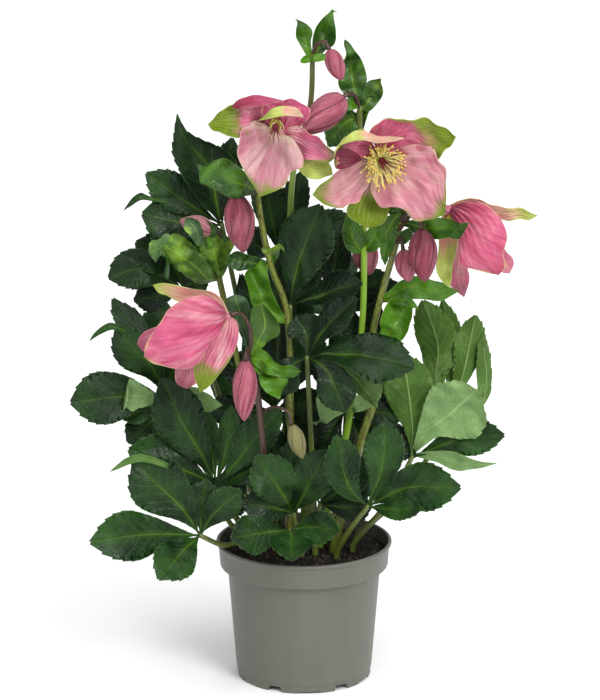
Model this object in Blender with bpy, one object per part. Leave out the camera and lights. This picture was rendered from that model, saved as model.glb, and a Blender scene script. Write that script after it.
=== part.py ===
"""Potted Christmas rose: a hellebore with pink blooms in a round plastic nursery pot.

The tables are in millimetres and the meshes in metres. +Z is up, the front of the plant
faces -Y, and the origin is the centre of the pot's foot, on the ground.

A point of the plant is written (x, y, rise). x and rise are where the point is seen on the
plane y = 0 by an eye in front of the pot, and y is its true depth. placed() turns such a
point into a true one, so a leaf can be bent nearer or further and still be seen in place.
"""

from dataclasses import dataclass, field, replace
from math import cos, pi, radians, sin

import bmesh
import bpy
import numpy as np

MM = 0.001
GAP = 0.35

# The eye that the tables are read from
EYE_X = -3.0
EYE_DISTANCE = 3000.0
EYE_HEIGHT = 1098.0

# Pot: a 13 cm nursery pot. A notch is (width, height, turn from the front in degrees)
POT_SIDES = 30
FLOOR_UNDER = 4.6
FLOOR_TOP = 6.2
FOOT_RADIUS = 49.5
FOOT_INNER = 45.5
BODY_FOOT = 50.2
BODY_TOP = 56.6
BAND_BOTTOM = 62.4
BAND_TOP = 63.4
LIP_RADIUS = 65.0
STEP_HEIGHT = 84.2
POT_HEIGHT = 104.0
WALL = 1.3
NOTCHES = 6
DEEP_NOTCH = (10.4, 4.2, -26.0)
SHALLOW_NOTCH = (15.4, 1.5, 4.0)
DRAIN_HOLES = 6
DRAIN_SIDES = 8
DRAIN_RADIUS = 4.5
DRAIN_RING = 30.0

# Soil
SOIL_SIDES = 16
SOIL_TOP = 96.5
SOIL_LUMP = 1.1
HOLE_DEPTH = 14.0
HOLE_SIDES = 5
SOIL_CLEAR = 4.0

# Stalks, leaflets and bracts. JOINT is how far a blade starts back inside its stalk
STALK_SIDES = 5
SIDE_STALK_SIDES = 4
RING_SPACING = 42.0
BLADE_THICK = 0.7
BLADE_BASE = 0.9
JOINT = 1.6
TOOTH = 0.12
WIDE_BLADE = 36
WIDE_ROWS = 6
NARROW_ROWS = 5
BEHIND = 40.0
BEHIND_ROWS = 4
BRACT_ROWS = 4

# Blooms and buds. Heights are above the seat, along the way that the bloom opens
SEPALS = 5
SEPAL_THICK = 0.8
SEPAL_BASE = 2.0
SEPAL_LOW = 1.8
SEPAL_LIFT = 0.5
SEPAL_SHOULDER = 11.0
SEPAL_STEPS = (0.0, 0.16, 0.42, 0.7, 1.0)
SEPAL_ACROSS = (-1.0, -0.35, 0.35, 1.0)
SEPAL_TWIST = 0.22
RECEPTACLE = ((0, GAP), (2.6, GAP), (4.6, 3.5), (4.6, 6.0), (0, 6.0))
RECEPTACLE_SIDES = 8
DISC_LOW = 6.0 + GAP
DISC_HIGH = 8.4
DISC_RADIUS = 5.0
DISC_SIDES = 10
NECTARY_LOBES = 0.12
FILAMENT_RING = 3.9
FILAMENT_LENGTH = 13.0
ANTHER_LENGTH = 1.8
FILAMENT_RADII = (0.45, 1.2, 0.5)
STYLES = 4
STYLE_LOW = DISC_HIGH + GAP
STYLE_RING = 1.1
STYLE_REACH = (0.0, 4.0, 9.5)
STYLE_RADII = (1.0, 0.9, 0.4)
FINE_SIDES = 3
RIBS = 0.07
BUD_SHAPE = ((0.0, 0.3), (0.18, 0.78), (0.42, 1.0), (0.68, 0.84), (0.87, 0.42))

# Facing directions of the upper side of a blade
FRONT = (0.0, -0.9, 0.45)
OPEN = (0.0, -0.65, 0.75)
UP = (0.0, -0.25, 0.97)
LEFT = (-0.6, -0.55, 0.55)
RIGHT = (0.6, -0.55, 0.55)
BACK = (0.0, 0.85, 0.5)
AWAY = (0.0, 0.5, 0.85)


@dataclass
class Blade:
    """A leaflet or bract, whose midrib runs from its base through these points."""

    width: float
    faces: tuple
    points: list
    fold: float = 0.16
    arch: float = 0.07
    wave: float = 0.05


@dataclass
class Sepal:
    """A sepal: its inner side faces the way that the bloom opens, or as given."""

    width: float
    tip: tuple
    faces: tuple = None


@dataclass
class Leaf:
    """A stalk that leaves the soil at root and carries its blades at the last point."""

    root: tuple
    stalk: list
    blades: list
    foot: float = 2.4
    neck: float = 1.7


@dataclass
class Branch:
    """A side stalk from a point of the stem. It ends square to the bloom or bud it carries."""

    points: list
    radius: float = 1.5


@dataclass
class Stem:
    """A flowering stem with its side stalks and bracts; each bract has a base of its own."""

    root: tuple
    stalk: list
    branches: list = field(default_factory=list)
    bracts: list = field(default_factory=list)
    foot: float = 2.8
    neck: float = 2.1


@dataclass
class Bloom:
    """An open bloom: its back sits at seat and it opens towards aim. Its stamens spread by degrees."""

    seat: tuple
    aim: tuple
    sepals: list
    stamens: int
    spread: float


@dataclass
class Bud:
    """A closed bloom that hangs from seat to tip."""

    seat: tuple
    tip: tuple
    radius: float


def blade(width, faces, *points, **shape):
    """A Blade with its points written out one after the other."""
    return Blade(width, faces, list(points), **shape)


LEAVES = {
    "leaf_low_left": Leaf(
        (-36, -14),
        [(-50, -24, 101), (-61, -31, 101), (-78, -42, 108)],
        [
            blade(42, FRONT, (-118, -62, 108), (-156, -90, 95)),
            blade(32, FRONT, (-92, -66, 92), (-108, -94, 72)),
            blade(38, FRONT, (-90, -46, 124), (-106, -50, 142), (-122, -54, 157), (-142, -58, 158)),
            blade(16, FRONT, (-79, -42, 140)),
            blade(22, FRONT, (-66, -46, 124), (-50, -48, 136)),
        ],
    ),
    "leaf_left": Leaf(
        (-32, 2),
        [(-52, -4, 122), (-66, -12, 147)],
        [
            blade(38, FRONT, (-76, -14, 170), (-92, -18, 195), (-105, -24, 222)),
            blade(15, OPEN, (-73, -6, 205)),
            blade(38, FRONT, (-96, -20, 160), (-129, -28, 173)),
            blade(17, OPEN, (-56, -10, 176), (-53, -8, 206)),
            blade(27, FRONT, (-48, -14, 165), (-17, -20, 204)),
            blade(25, OPEN, (-46, -14, 152), (-25, -18, 164)),
        ],
    ),
    "leaf_front": Leaf(
        (-12, -26),
        [(-11, -38, 106), (-10, -47, 111)],
        [
            blade(30, FRONT, (-32, -60, 108), (-54, -80, 104)),
            blade(32, OPEN, (-10, -78, 100), (-9, -107, 87)),
            blade(25, FRONT, (8, -64, 113), (26, -86, 110)),
        ],
    ),
    "leaf_front_centre": Leaf(
        (-2, -16),
        [(-6, -20, 112), (-8, -24, 125)],
        [
            blade(33, FRONT, (-20, -36, 144), (-35, -42, 168)),
            blade(32, FRONT, (4, -36, 146), (17, -42, 172)),
            blade(24, FRONT, (-24, -38, 128), (-46, -44, 132)),
            blade(26, FRONT, (-8, -31, 150), (-10, -32, 180)),
        ],
    ),
    "leaf_low_right": Leaf(
        (24, -22),
        [(36, -32, 114), (48, -38, 130)],
        [
            blade(30, FRONT, (30, -44, 148), (23, -48, 183)),
            blade(30, FRONT, (58, -40, 160), (60, -38, 195)),
            blade(36, FRONT, (80, -58, 143), (114, -88, 143)),
            blade(18, FRONT, (66, -56, 122), (86, -80, 120)),
            blade(6, FRONT, (64, -46, 150)),
        ],
    ),
    "leaf_right": Leaf(
        (36, -6),
        [(62, -4, 132), (80, 0, 168)],
        [
            blade(36, BACK, (80, -4, 190), (72, -10, 246)),
            blade(42, BACK, (100, -10, 194), (116, -16, 212), (133, -22, 199)),
            blade(27, FRONT, (112, -4, 180), (147, -12, 184)),
            blade(11, BACK, (106, -16, 163), (141, -26, 162)),
        ],
    ),
    "leaf_high_right": Leaf(
        (38, 12),
        [(74, 20, 140), (108, 24, 196)],
        [
            blade(30, BACK, (96, 20, 240), (87, 14, 288)),
            blade(20, BACK, (108, 28, 240), (101, 30, 286)),
            blade(18, BACK, (121, 22, 240), (124, 18, 278)),
            blade(22, BACK, (130, 26, 225), (136, 26, 264)),
        ],
    ),
    "leaf_centre": Leaf(
        (8, -6),
        [(6, -10, 160), (2, -26, 245)],
        [
            blade(42, OPEN, (35, -34, 243), (80, -44, 236)),
            blade(28, FRONT, (18, -38, 232), (30, -48, 202)),
            blade(24, OPEN, (16, -32, 262), (38, -36, 289)),
            blade(26, OPEN, (2, -20, 260), (-6, -16, 275)),
            blade(25, FRONT, (-10, -34, 236), (-20, -36, 216)),
            blade(18, BACK, (34, -24, 228), (54, -26, 206)),
        ],
    ),
    "leaf_upper_centre": Leaf(
        (-8, 8),
        [(-12, 4, 180), (-10, -4, 284)],
        [
            blade(42, OPEN, (-2, -8, 315), (12, -16, 358)),
            blade(30, OPEN, (16, -8, 290), (42, -14, 300)),
            blade(7, OPEN, (14, -12, 306)),
        ],
    ),
    "leaf_upper_left": Leaf(
        (-18, 24),
        [(-36, 22, 220), (-60, 12, 345)],
        [
            blade(34, OPEN, (-78, 8, 384), (-92, 2, 426)),
            blade(26, FRONT, (-94, 14, 364), (-115, 10, 386)),
            blade(40, FRONT, (-84, 10, 345), (-103, 7, 351), (-116, 1, 363), (-131, -5, 355)),
            blade(9, OPEN, (-77, 14, 369)),
            blade(22, OPEN, (-56, 18, 376), (-52, 20, 408)),
        ],
    ),
    "leaf_mid_left": Leaf(
        (-30, 24),
        [(-58, 26, 200), (-88, 14, 296)],
        [
            blade(30, FRONT, (-110, 8, 311), (-128, 4, 315), (-143, 2, 301)),
            blade(32, OPEN, (-98, 12, 314), (-107, 8, 334)),
            blade(20, OPEN, (-86, 22, 320), (-78, 24, 338)),
            blade(22, FRONT, (-104, 16, 290), (-124, 14, 287)),
        ],
    ),
    "leaf_far_left": Leaf(
        (-42, 14),
        [(-74, 12, 160), (-102, 2, 214)],
        [
            blade(28, LEFT, (-112, 6, 252), (-124, 6, 272), (-139, 2, 288)),
            blade(36, FRONT, (-114, -4, 238), (-129, -8, 255), (-142, -12, 265), (-157, -14, 257)),
            blade(42, FRONT, (-134, -14, 215), (-171, -22, 204)),
            blade(13, UP, (-118, -12, 202), (-134, -18, 195)),
            blade(13, UP, (-116, -4, 194), (-134, -6, 183)),
            blade(18, BACK, (-84, -6, 214), (-64, -8, 208)),
        ],
    ),
    "leaf_behind_blooms": Leaf(
        (-6, 32),
        [(-14, 34, 220), (-16, 36, 318)],
        [
            blade(26, OPEN, (-4, 36, 348), (6, 34, 370)),
            blade(26, OPEN, (-26, 34, 350), (-30, 32, 384)),
            blade(26, OPEN, (-34, 32, 326), (-44, 26, 340)),
        ],
    ),
    "leaf_back_left": Leaf(
        (-34, 36),
        [(-42, 50, 130), (-48, 62, 180)],
        [
            blade(30, AWAY, (-68, 72, 196), (-88, 84, 202)),
            blade(30, AWAY, (-60, 84, 172), (-72, 100, 158)),
            blade(28, AWAY, (-50, 88, 192), (-50, 106, 188)),
            blade(28, OPEN, (-54, 66, 212), (-60, 70, 246)),
            blade(28, AWAY, (-30, 72, 188), (-16, 84, 194)),
        ],
    ),
    "leaf_back_low": Leaf(
        (4, 50),
        [(4, 56, 120), (4, 62, 138)],
        [
            blade(28, OPEN, (-12, 70, 146), (-30, 78, 156)),
            blade(28, OPEN, (-4, 70, 160), (-12, 76, 184)),
            blade(28, OPEN, (14, 72, 160), (22, 80, 184)),
            blade(28, OPEN, (24, 74, 144), (44, 82, 154)),
        ],
    ),
    "leaf_back": Leaf(
        (-10, 46),
        [(-22, 58, 150), (-8, 74, 216)],
        [
            blade(30, OPEN, (-26, 84, 240), (-44, 96, 256)),
            blade(30, OPEN, (-8, 88, 248), (-8, 104, 272)),
            blade(30, AWAY, (12, 90, 232), (30, 102, 240)),
            blade(28, AWAY, (8, 92, 204), (18, 105, 184)),
        ],
    ),
    "leaf_back_right": Leaf(
        (16, 36),
        [(32, 48, 140), (44, 56, 190)],
        [
            blade(30, AWAY, (62, 70, 208), (82, 84, 216)),
            blade(30, AWAY, (58, 78, 186), (72, 96, 176)),
            blade(28, AWAY, (42, 84, 200), (36, 104, 206)),
            blade(28, OPEN, (50, 64, 224), (56, 70, 254)),
        ],
    ),
    "leaf_back_high": Leaf(
        (12, 22),
        [(20, 40, 200), (26, 52, 270)],
        [
            blade(28, OPEN, (44, 60, 290), (64, 66, 302)),
            blade(28, OPEN, (26, 66, 300), (22, 78, 328)),
            blade(26, AWAY, (44, 66, 268), (68, 76, 262)),
            blade(26, OPEN, (8, 62, 284), (-12, 70, 296)),
        ],
    ),
}

STEMS = {
    "stem_top": Stem(
        (2, 16),
        [(-6, 18, 200), (-10, 16, 320), (-8, 8, 382), (4, 0, 430), (6, -6, 470)],
        [Branch([(6, -6, 470), (9, -8, 477), (15, -10, 479)], 1.3)],
        [
            blade(12, FRONT, (5, -6, 468), (-1, -10, 482), (-6, -12, 495), fold=0.3),
            blade(15, OPEN, (6, -6, 468), (14, -2, 486), (24, -4, 502), fold=0.3),
            blade(9, FRONT, (6, -6, 468), (2, -12, 466), (-4, -18, 461)),
        ],
        foot=2.6,
        neck=1.7,
    ),
    "stem_right_centre": Stem(
        (12, 6),
        [(30, 4, 180), (42, 2, 265), (43, 2, 345), (40, 0, 400), (40, -4, 432)],
        [
            Branch([(40, -4, 430), (36, -8, 440), (31, -14, 440)], 1.4),
            Branch([(41, -1, 405), (46, -8, 410), (53, -18, 402)], 1.6),
            Branch([(43, 2, 332), (41, 12, 341)], 1.4),
        ],
        [
            blade(20, OPEN, (40, -4, 430), (36, 2, 455), (30, 2, 480)),
            blade(17, RIGHT, (40, -4, 428), (50, -4, 438), (56, -6, 454)),
            blade(26, FRONT, (40, 0, 424), (29, 2, 418), (18, 4, 402)),
            blade(13, FRONT, (43, 2, 326), (35, -4, 342), (33, -4, 358)),
            blade(13, FRONT, (43, 2, 326), (51, -2, 336), (57, -2, 346)),
        ],
    ),
    "stem_right": Stem(
        (22, -8),
        [(42, -10, 180), (53, -10, 218), (50, -8, 257), (56, -8, 290), (66, -10, 326), (70, -12, 346)],
        [
            Branch([(70, -12, 346), (82, -14, 362), (94, -14, 364)], 1.5),
            Branch([(69, -12, 340), (78, -24, 351), (84, -34, 347)], 1.4),
            Branch([(67, -10, 328), (69, -16, 334), (71, -20, 331)], 1.2),
        ],
        [
            blade(24, FRONT, (70, -12, 344), (92, -38, 351), (117, -54, 344)),
            blade(12, OPEN, (68, -12, 336), (62, -8, 330), (58, -6, 314)),
            blade(24, FRONT, (50, -8, 254), (60, -16, 270), (68, -20, 290)),
            blade(20, OPEN, (57, -8, 288), (84, -14, 296), (112, -20, 291)),
        ],
        foot=3.4,
    ),
    "stem_centre": Stem(
        (-12, -4),
        [(-10, -8, 180), (-12, -14, 272), (-24, -16, 312), (-31, -14, 345), (-34, -12, 368)],
        [
            Branch([(-34, -12, 368), (-32, -8, 390), (-26, -12, 412)], 1.6),
            Branch([(-34, -12, 366), (-40, -18, 374), (-46, -24, 373)], 1.4),
        ],
        [
            blade(28, FRONT, (-12, -14, 270), (-28, -26, 288), (-38, -30, 318)),
            blade(14, OPEN, (-24, -16, 310), (-40, -20, 312), (-56, -24, 322)),
            blade(22, OPEN, (-34, -12, 366), (-54, -12, 386), (-78, -14, 388)),
        ],
    ),
    "stem_left": Stem(
        (-20, 10),
        [(-38, 10, 190), (-58, 8, 285), (-62, 6, 305), (-64, 2, 326)],
        [Branch([(-64, 2, 322), (-61, -8, 334)], 1.3)],
        [
            blade(40, FRONT, (-62, 6, 303), (-82, -8, 314), (-112, -10, 324)),
            blade(15, OPEN, (-63, 4, 318), (-70, 1, 350)),
        ],
    ),
    "stem_front_left": Stem(
        (-22, -14),
        [(-28, -28, 150), (-34, -36, 215), (-40, -38, 243)],
        [
            Branch([(-40, -38, 240), (-39, -40, 262), (-44, -40, 275)], 1.5),
            Branch([(-39, -38, 236), (-41, -46, 250), (-42, -52, 248)], 1.3),
            Branch([(-34, -30, 200), (-22, -42, 206), (-12, -47, 202)], 1.0),
        ],
        [
            blade(24, OPEN, (-40, -38, 242), (-22, -46, 244), (-3, -54, 233)),
            blade(16, FRONT, (-40, -38, 238), (-27, -44, 228), (-17, -52, 213)),
            blade(13, BACK, (-40, -38, 244), (-50, -30, 266), (-51, -26, 290)),
            blade(16, OPEN, (-39, -40, 248), (-31, -42, 262), (-25, -42, 278)),
        ],
    ),
}

BLOOMS = {
    "bloom_left": Bloom(
        (-18, -28, 412),
        (-26, -80, 398),
        [
            Sepal(40, (-69, -50, 418)),
            Sepal(46, (-33, -54, 363)),
            Sepal(34, (13, -46, 378)),
            Sepal(34, (21, -50, 401)),
            Sepal(36, (-2, -64, 436)),
        ],
        12,
        42,
    ),
    "bloom_centre": Bloom(
        (54, -28, 391),
        (62, -80, 386),
        [
            Sepal(36, (27, -66, 414)),
            Sepal(36, (6, -54, 367)),
            Sepal(36, (46, -48, 342)),
            Sepal(48, (98, -60, 350)),
            Sepal(42, (110, -56, 410)),
        ],
        14,
        42,
    ),
    "bloom_right": Bloom(
        (102, -16, 357),
        (134, -30, 320),
        [
            Sepal(34, (169, -18, 350), (-0.1, 0.35, -0.9)),
            Sepal(46, (141, -52, 304), (-0.3, 0.95, 0.0)),
            Sepal(24, (107, -27, 297), (0.7, 0.7, 0.0)),
            Sepal(26, (118, 4, 290), (0.3, -0.9, 0.0)),
            Sepal(28, (153, 8, 316), (-0.3, -0.8, -0.4)),
        ],
        8,
        18,
    ),
    "bloom_low_left": Bloom(
        (-54, -46, 275),
        (-104, -66, 250),
        [
            Sepal(34, (-110, -48, 300), (0.1, 0.35, -0.9)),
            Sepal(50, (-121, -80, 249), (0.2, 0.95, -0.2)),
            Sepal(36, (-76, -76, 218), (-0.5, 0.8, 0.0)),
            Sepal(28, (-89, -42, 220), (-0.2, -0.9, 0.2)),
            Sepal(28, (-113, -28, 256), (0.2, -0.8, 0.0)),
        ],
        8,
        18,
    ),
}

BUDS = {
    "bud_top": Bud((18, -11, 473), (27, -18, 451), 6.8),
    "bud_upper": Bud((28, -18, 438), (2, -34, 414), 11.0),
    "bud_centre_left": Bud((-47, -25, 366), (-42, -26, 323), 10.4),
    "bud_right": Bud((85, -36, 340), (88, -38, 301), 10.6),
    "bud_hidden": Bud((72, -20, 325), (78, -22, 302), 7.0),
    "bud_behind": Bud((42, 17, 333), (48, 19, 306), 9.6),
    "bud_left": Bud((-66, -12, 339), (-90, -16, 347), 7.6),
    "bud_low": Bud((-43, -58, 241), (-44, -62, 195), 9.0),
    "bud_small": Bud((-9, -49, 192), (-1, -52, 166), 6.2),
}


def unit(vectors):
    """Vectors scaled to length 1."""
    return vectors / np.linalg.norm(vectors, axis=-1, keepdims=True)


def placed(point):
    """The true place of a table point (x, y, rise)."""
    x, y, rise = point
    nearer = y / EYE_DISTANCE
    return np.array([x + (x - EYE_X) * nearer, y, rise - (EYE_HEIGHT - rise) * nearer])


def placed_all(points):
    """The true places of several table points."""
    return np.array([placed(point) for point in points])


def even(count):
    """count + 1 even steps from 0 to 1."""
    return np.linspace(0.0, 1.0, count + 1)


def along(points, steps, before=None):
    """Places on a smooth curve through the points, at these shares of their chords' length."""
    first = 2 * points[0] - points[1] if before is None else before
    hull = np.vstack([first, points, 2 * points[-1] - points[-2]])
    chords = np.linalg.norm(np.diff(points, axis=0), axis=1)
    reached = np.concatenate([[0.0], np.cumsum(chords)])
    wanted = reached[-1] * steps
    spans = np.clip(np.searchsorted(reached, wanted, side="right") - 1, 0, len(chords) - 1)
    part = ((wanted - reached[spans]) / chords[spans])[:, None]
    start, end = hull[spans + 1], hull[spans + 2]
    leave = 0.5 * (end - hull[spans])
    arrive = 0.5 * (hull[spans + 3] - start)
    return (
        start * (2 * part**3 - 3 * part**2 + 1)
        + leave * (part**3 - 2 * part**2 + part)
        + end * (3 * part**2 - 2 * part**3)
        + arrive * (part**3 - part**2)
    )


def frames(spine, faces):
    """Tangent, upward and sideways directions along a spine, starting from a facing direction."""
    tangent = unit(np.gradient(spine, axis=0))
    upward = np.empty_like(tangent)
    current = np.array(faces, float)
    for row, direction in enumerate(tangent):
        current = unit(current - direction * (current @ direction))
        upward[row] = current
    return tangent, upward, np.cross(tangent, upward)


def leaflet_outline(steps):
    """Relative width of a leaflet from its base to its tip."""
    return np.sin(pi * steps**1.65) ** 0.72


def bract_outline(steps):
    """Relative width of a bract, which is widest below its middle."""
    return np.sin(pi * steps**0.85) ** 0.8


def sepal_outline(steps):
    """Relative width of a sepal, which is broad and blunt."""
    return steps**0.75 * (1 - steps**3.2) ** 0.7 / 0.59


def blade_grid(base, shape, outline, rows):
    """Rows of points across a toothed leaflet or bract, from its base to its tip."""
    steps = even(rows)
    spine = along(np.vstack([base, placed_all(shape.points)]), steps)
    length = np.linalg.norm(np.diff(spine, axis=0), axis=1).sum()
    upward = frames(spine, shape.faces)[1]
    spine = spine + upward * (shape.arch * length * 4 * steps * (1 - steps))[:, None]
    tangent, upward, side = frames(spine, shape.faces)
    half = 0.5 * shape.width * outline(steps)
    half[0] = BLADE_BASE
    half[-1] = 0.0
    tooth = np.where(np.arange(rows + 1) % 2 == 1, 1.0 + TOOTH, 1.0 - TOOTH)
    tooth[[0, -1]] = 1.0
    across = np.array([-1.0, 0.0, 1.0])
    reach = (half * tooth)[:, None] * across
    forward = 2 * (tooth - 1.0)[:, None] * np.abs(across) * length / rows
    ripple = shape.wave * (half * np.sin(7 * steps))[:, None] * np.abs(across)
    rise = shape.fold * np.abs(reach) + ripple
    return (
        spine[:, None]
        + side[:, None] * reach[..., None]
        + upward[:, None] * rise[..., None]
        + tangent[:, None] * forward[..., None]
    )


def slab(grid, thickness):
    """Points and faces of a blade of this thickness, split alike on both of its sides."""
    rows, columns = grid.shape[:2]
    lengthwise = np.gradient(grid, axis=0)
    crosswise = np.gradient(grid, axis=1)
    lift = unit(np.cross(crosswise[:-1], lengthwise[:-1]))
    lift = np.concatenate([lift, np.repeat(lift[-1:, columns // 2 : columns // 2 + 1], columns, 1)])
    points = np.concatenate([grid + lift * thickness / 2, grid - lift * thickness / 2])
    number = np.arange(2 * rows * columns).reshape(2, rows, columns)
    faces = []
    for layer in number:
        for row in range(rows - 1):
            for column in range(columns - 1):
                a, b = layer[row, column], layer[row, column + 1]
                d, c = layer[row + 1, column], layer[row + 1, column + 1]
                if column < (columns - 1) / 2:
                    faces += [(a, b, d), (b, c, d)]
                else:
                    faces += [(a, b, c), (a, c, d)]
    top, bottom = number
    rim = [(row, 0) for row in range(rows)]
    rim += [(rows - 1, column) for column in range(1, columns)]
    rim += [(row, columns - 1) for row in range(rows - 2, -1, -1)]
    rim += [(0, column) for column in range(columns - 2, 0, -1)]
    for here, there in zip(rim, rim[1:] + rim[:1]):
        faces.append((top[here], top[there], bottom[there], bottom[here]))
    return points.reshape(-1, 3), faces


def tube(spine, radii, sides):
    """Points and faces of a round stalk along its spine, closed at both ends."""
    _, upward, side = frames(spine, (0.31, 0.9, 0.3))
    angle = 2 * pi * np.arange(sides) / sides
    ring = np.cos(angle)[None, :, None] * upward[:, None] + np.sin(angle)[None, :, None] * side[:, None]
    points = spine[:, None] + ring * np.asarray(radii)[:, None, None]
    count = len(spine)
    faces = [tuple(range(sides)), tuple(range((count - 1) * sides, count * sides))]
    for row in range(count - 1):
        for column in range(sides):
            a, b = row * sides + column, row * sides + (column + 1) % sides
            faces.append((a, b, b + sides, a + sides))
    return points.reshape(-1, 3), faces


def turned(profile, sides, lobes=0, lobe_depth=0.0):
    """Points and faces of a solid turned about +Z from (radius, height) pairs, axis to axis."""
    points, faces, rings = [], [], []
    for radius, height in profile:
        if radius == 0:
            rings.append([len(points)])
            points.append((0.0, 0.0, height))
            continue
        rings.append(list(range(len(points), len(points) + sides)))
        for step in range(sides):
            angle = 2 * pi * step / sides
            swell = radius * (1 + lobe_depth * cos(lobes * angle))
            points.append((swell * sin(angle), -swell * cos(angle), height))
    for lower, upper in zip(rings, rings[1:]):
        for step in range(sides):
            after = (step + 1) % sides
            corners = [lower[step % len(lower)], lower[after % len(lower)]]
            corners += [upper[after % len(upper)], upper[step % len(upper)]]
            faces.append(tuple(dict.fromkeys(corners)))
    return np.array(points), faces


def towards(points, place, axis):
    """Points of a solid about +Z, moved to a place and turned so that +Z lies along the axis."""
    _, upward, side = frames(np.array([np.zeros(3), axis]), (0.2, 0.95, 0.1))
    return place + points[:, :1] * side[0] + points[:, 1:2] * upward[0] + points[:, 2:] * unit(axis)


def box(width, depth, height, distance, middle, turn):
    """Points and faces of a box at a distance from the axis, turned about it by degrees."""
    corners = [(sx, sy, sz) for sz in (-0.5, 0.5) for sy in (-0.5, 0.5) for sx in (-0.5, 0.5)]
    points = np.array(corners) * (width, depth, height) + (0.0, -distance, middle)
    angle = radians(turn)
    spin = np.array([[cos(angle), -sin(angle), 0.0], [sin(angle), cos(angle), 0.0], [0.0, 0.0, 1.0]])
    faces = [(0, 1, 3, 2), (4, 6, 7, 5), (0, 4, 5, 1), (2, 3, 7, 6), (0, 2, 6, 4), (1, 5, 7, 3)]
    return points @ spin.T, faces


def solid(name, points, faces, collection=None):
    """An object from points in millimetres, with doubled points merged and faces turned out."""
    mesh = bpy.data.meshes.new(name)
    mesh.from_pydata((np.asarray(points) * MM).tolist(), [], [tuple(map(int, face)) for face in faces])
    work = bmesh.new()
    work.from_mesh(mesh)
    bmesh.ops.remove_doubles(work, verts=work.verts[:], dist=1e-5)
    bmesh.ops.recalc_face_normals(work, faces=work.faces[:])
    work.to_mesh(mesh)
    work.free()
    obj = bpy.data.objects.new(name, mesh)
    (collection or bpy.context.scene.collection).objects.link(obj)
    return obj


def combined(obj, pieces, operation, solver="EXACT"):
    """The object joined with, or cut by, all the pieces in one Boolean, which is applied."""
    helpers = bpy.data.collections.new(obj.name + "_helpers")
    bpy.context.scene.collection.children.link(helpers)
    for number, (points, faces) in enumerate(pieces):
        solid(f"{obj.name}_helper_{number}", points, faces, helpers)
    modifier = obj.modifiers.new("combine", "BOOLEAN")
    modifier.operation = operation
    modifier.operand_type = "COLLECTION"
    modifier.collection = helpers
    modifier.solver = solver
    graph = bpy.context.evaluated_depsgraph_get()
    result = bpy.data.meshes.new_from_object(obj.evaluated_get(graph))
    obj.modifiers.remove(modifier)
    before = obj.data
    obj.data = result
    bpy.data.meshes.remove(before)
    for helper in list(helpers.objects):
        bpy.data.objects.remove(helper, do_unlink=True)
    bpy.data.collections.remove(helpers)
    return obj


def material(name, colour, roughness):
    """A plain material of this colour."""
    made = bpy.data.materials.get(name)
    if made:
        return made
    made = bpy.data.materials.new(name)
    made.use_nodes = True
    shader = made.node_tree.nodes["Principled BSDF"]
    shader.inputs["Base Color"].default_value = (*colour, 1.0)
    shader.inputs["Roughness"].default_value = roughness
    shader.inputs["Metallic"].default_value = 0.0
    return made


def finished(obj, look):
    """The object with its material."""
    obj.data.materials.clear()
    obj.data.materials.append(look)
    return obj


def fused(name, pieces, look):
    """One node made of pieces that grow into each other."""
    obj = solid(name, *pieces[0])
    if len(pieces) > 1:
        combined(obj, pieces[1:], "UNION")
    return finished(obj, look)


def rooted(shape):
    """The stalk of a leaf or stem: upright in its hole, and then along its points."""
    x, y = shape.root
    bottom = np.array([x, y, SOIL_TOP - HOLE_DEPTH + GAP])
    surface = np.array([x, y, SOIL_TOP + SOIL_CLEAR])
    route = np.vstack([surface, placed_all(shape.stalk)])
    length = np.linalg.norm(np.diff(route, axis=0), axis=1).sum()
    count = max(2, round(length / RING_SPACING))
    curve = along(route, even(count), before=bottom)
    radii = np.linspace(shape.foot, shape.neck, count + 1)
    return tube(np.vstack([bottom, curve]), np.concatenate([[shape.foot], radii]), STALK_SIDES)


def hole(root, foot):
    """The cutter of the hole that a stalk stands in."""
    x, y = root
    radius = (foot + GAP) / cos(pi / HOLE_SIDES)
    low, high = SOIL_TOP - HOLE_DEPTH, SOIL_TOP + SOIL_CLEAR
    points, faces = turned([(0, low), (radius, low), (radius, high), (0, high)], HOLE_SIDES)
    return points + np.array([x, y, 0.0]), faces


def pot():
    """The pot: floor, notched foot ring, tapered body, rim band and rolled lip."""
    outer = [
        (0, FLOOR_UNDER),
        (FOOT_INNER, FLOOR_UNDER),
        (FOOT_INNER, 0),
        (FOOT_RADIUS, 0),
        (FOOT_RADIUS, FLOOR_UNDER),
        (BODY_FOOT, FLOOR_TOP),
        (BODY_TOP, STEP_HEIGHT - WALL),
        (BAND_BOTTOM, STEP_HEIGHT + 1.6),
        (BAND_TOP, POT_HEIGHT - 3.2),
        (LIP_RADIUS, POT_HEIGHT - 2.4),
        (LIP_RADIUS, POT_HEIGHT - 0.4),
        (BAND_TOP - WALL, POT_HEIGHT),
    ]
    inner = [
        (BAND_BOTTOM - WALL, STEP_HEIGHT + 2.6),
        (BODY_TOP - WALL, STEP_HEIGHT),
        (BODY_FOOT - WALL, FLOOR_TOP),
        (0, FLOOR_TOP),
    ]
    obj = solid("pot", *turned(outer + inner, POT_SIDES))
    cutters = []
    for width, height, turn in (DEEP_NOTCH, SHALLOW_NOTCH):
        for step in range(NOTCHES):
            angle = turn + step * 360 / NOTCHES
            cutters.append(box(width, 14.0, 2 * height, FOOT_RADIUS - 2.0, 0.0, angle))
    for step in range(DRAIN_HOLES):
        angle = 2 * pi * (step + 0.5) / DRAIN_HOLES
        profile = [(0, 0), (DRAIN_RADIUS, 0), (DRAIN_RADIUS, 2 * FLOOR_TOP), (0, 2 * FLOOR_TOP)]
        points, faces = turned(profile, DRAIN_SIDES)
        cutters.append((points + DRAIN_RING * np.array([sin(angle), cos(angle), 0.0]), faces))
    combined(obj, cutters, "DIFFERENCE")
    return finished(obj, material("pot_plastic", (0.19, 0.19, 0.15), 0.45))


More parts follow.
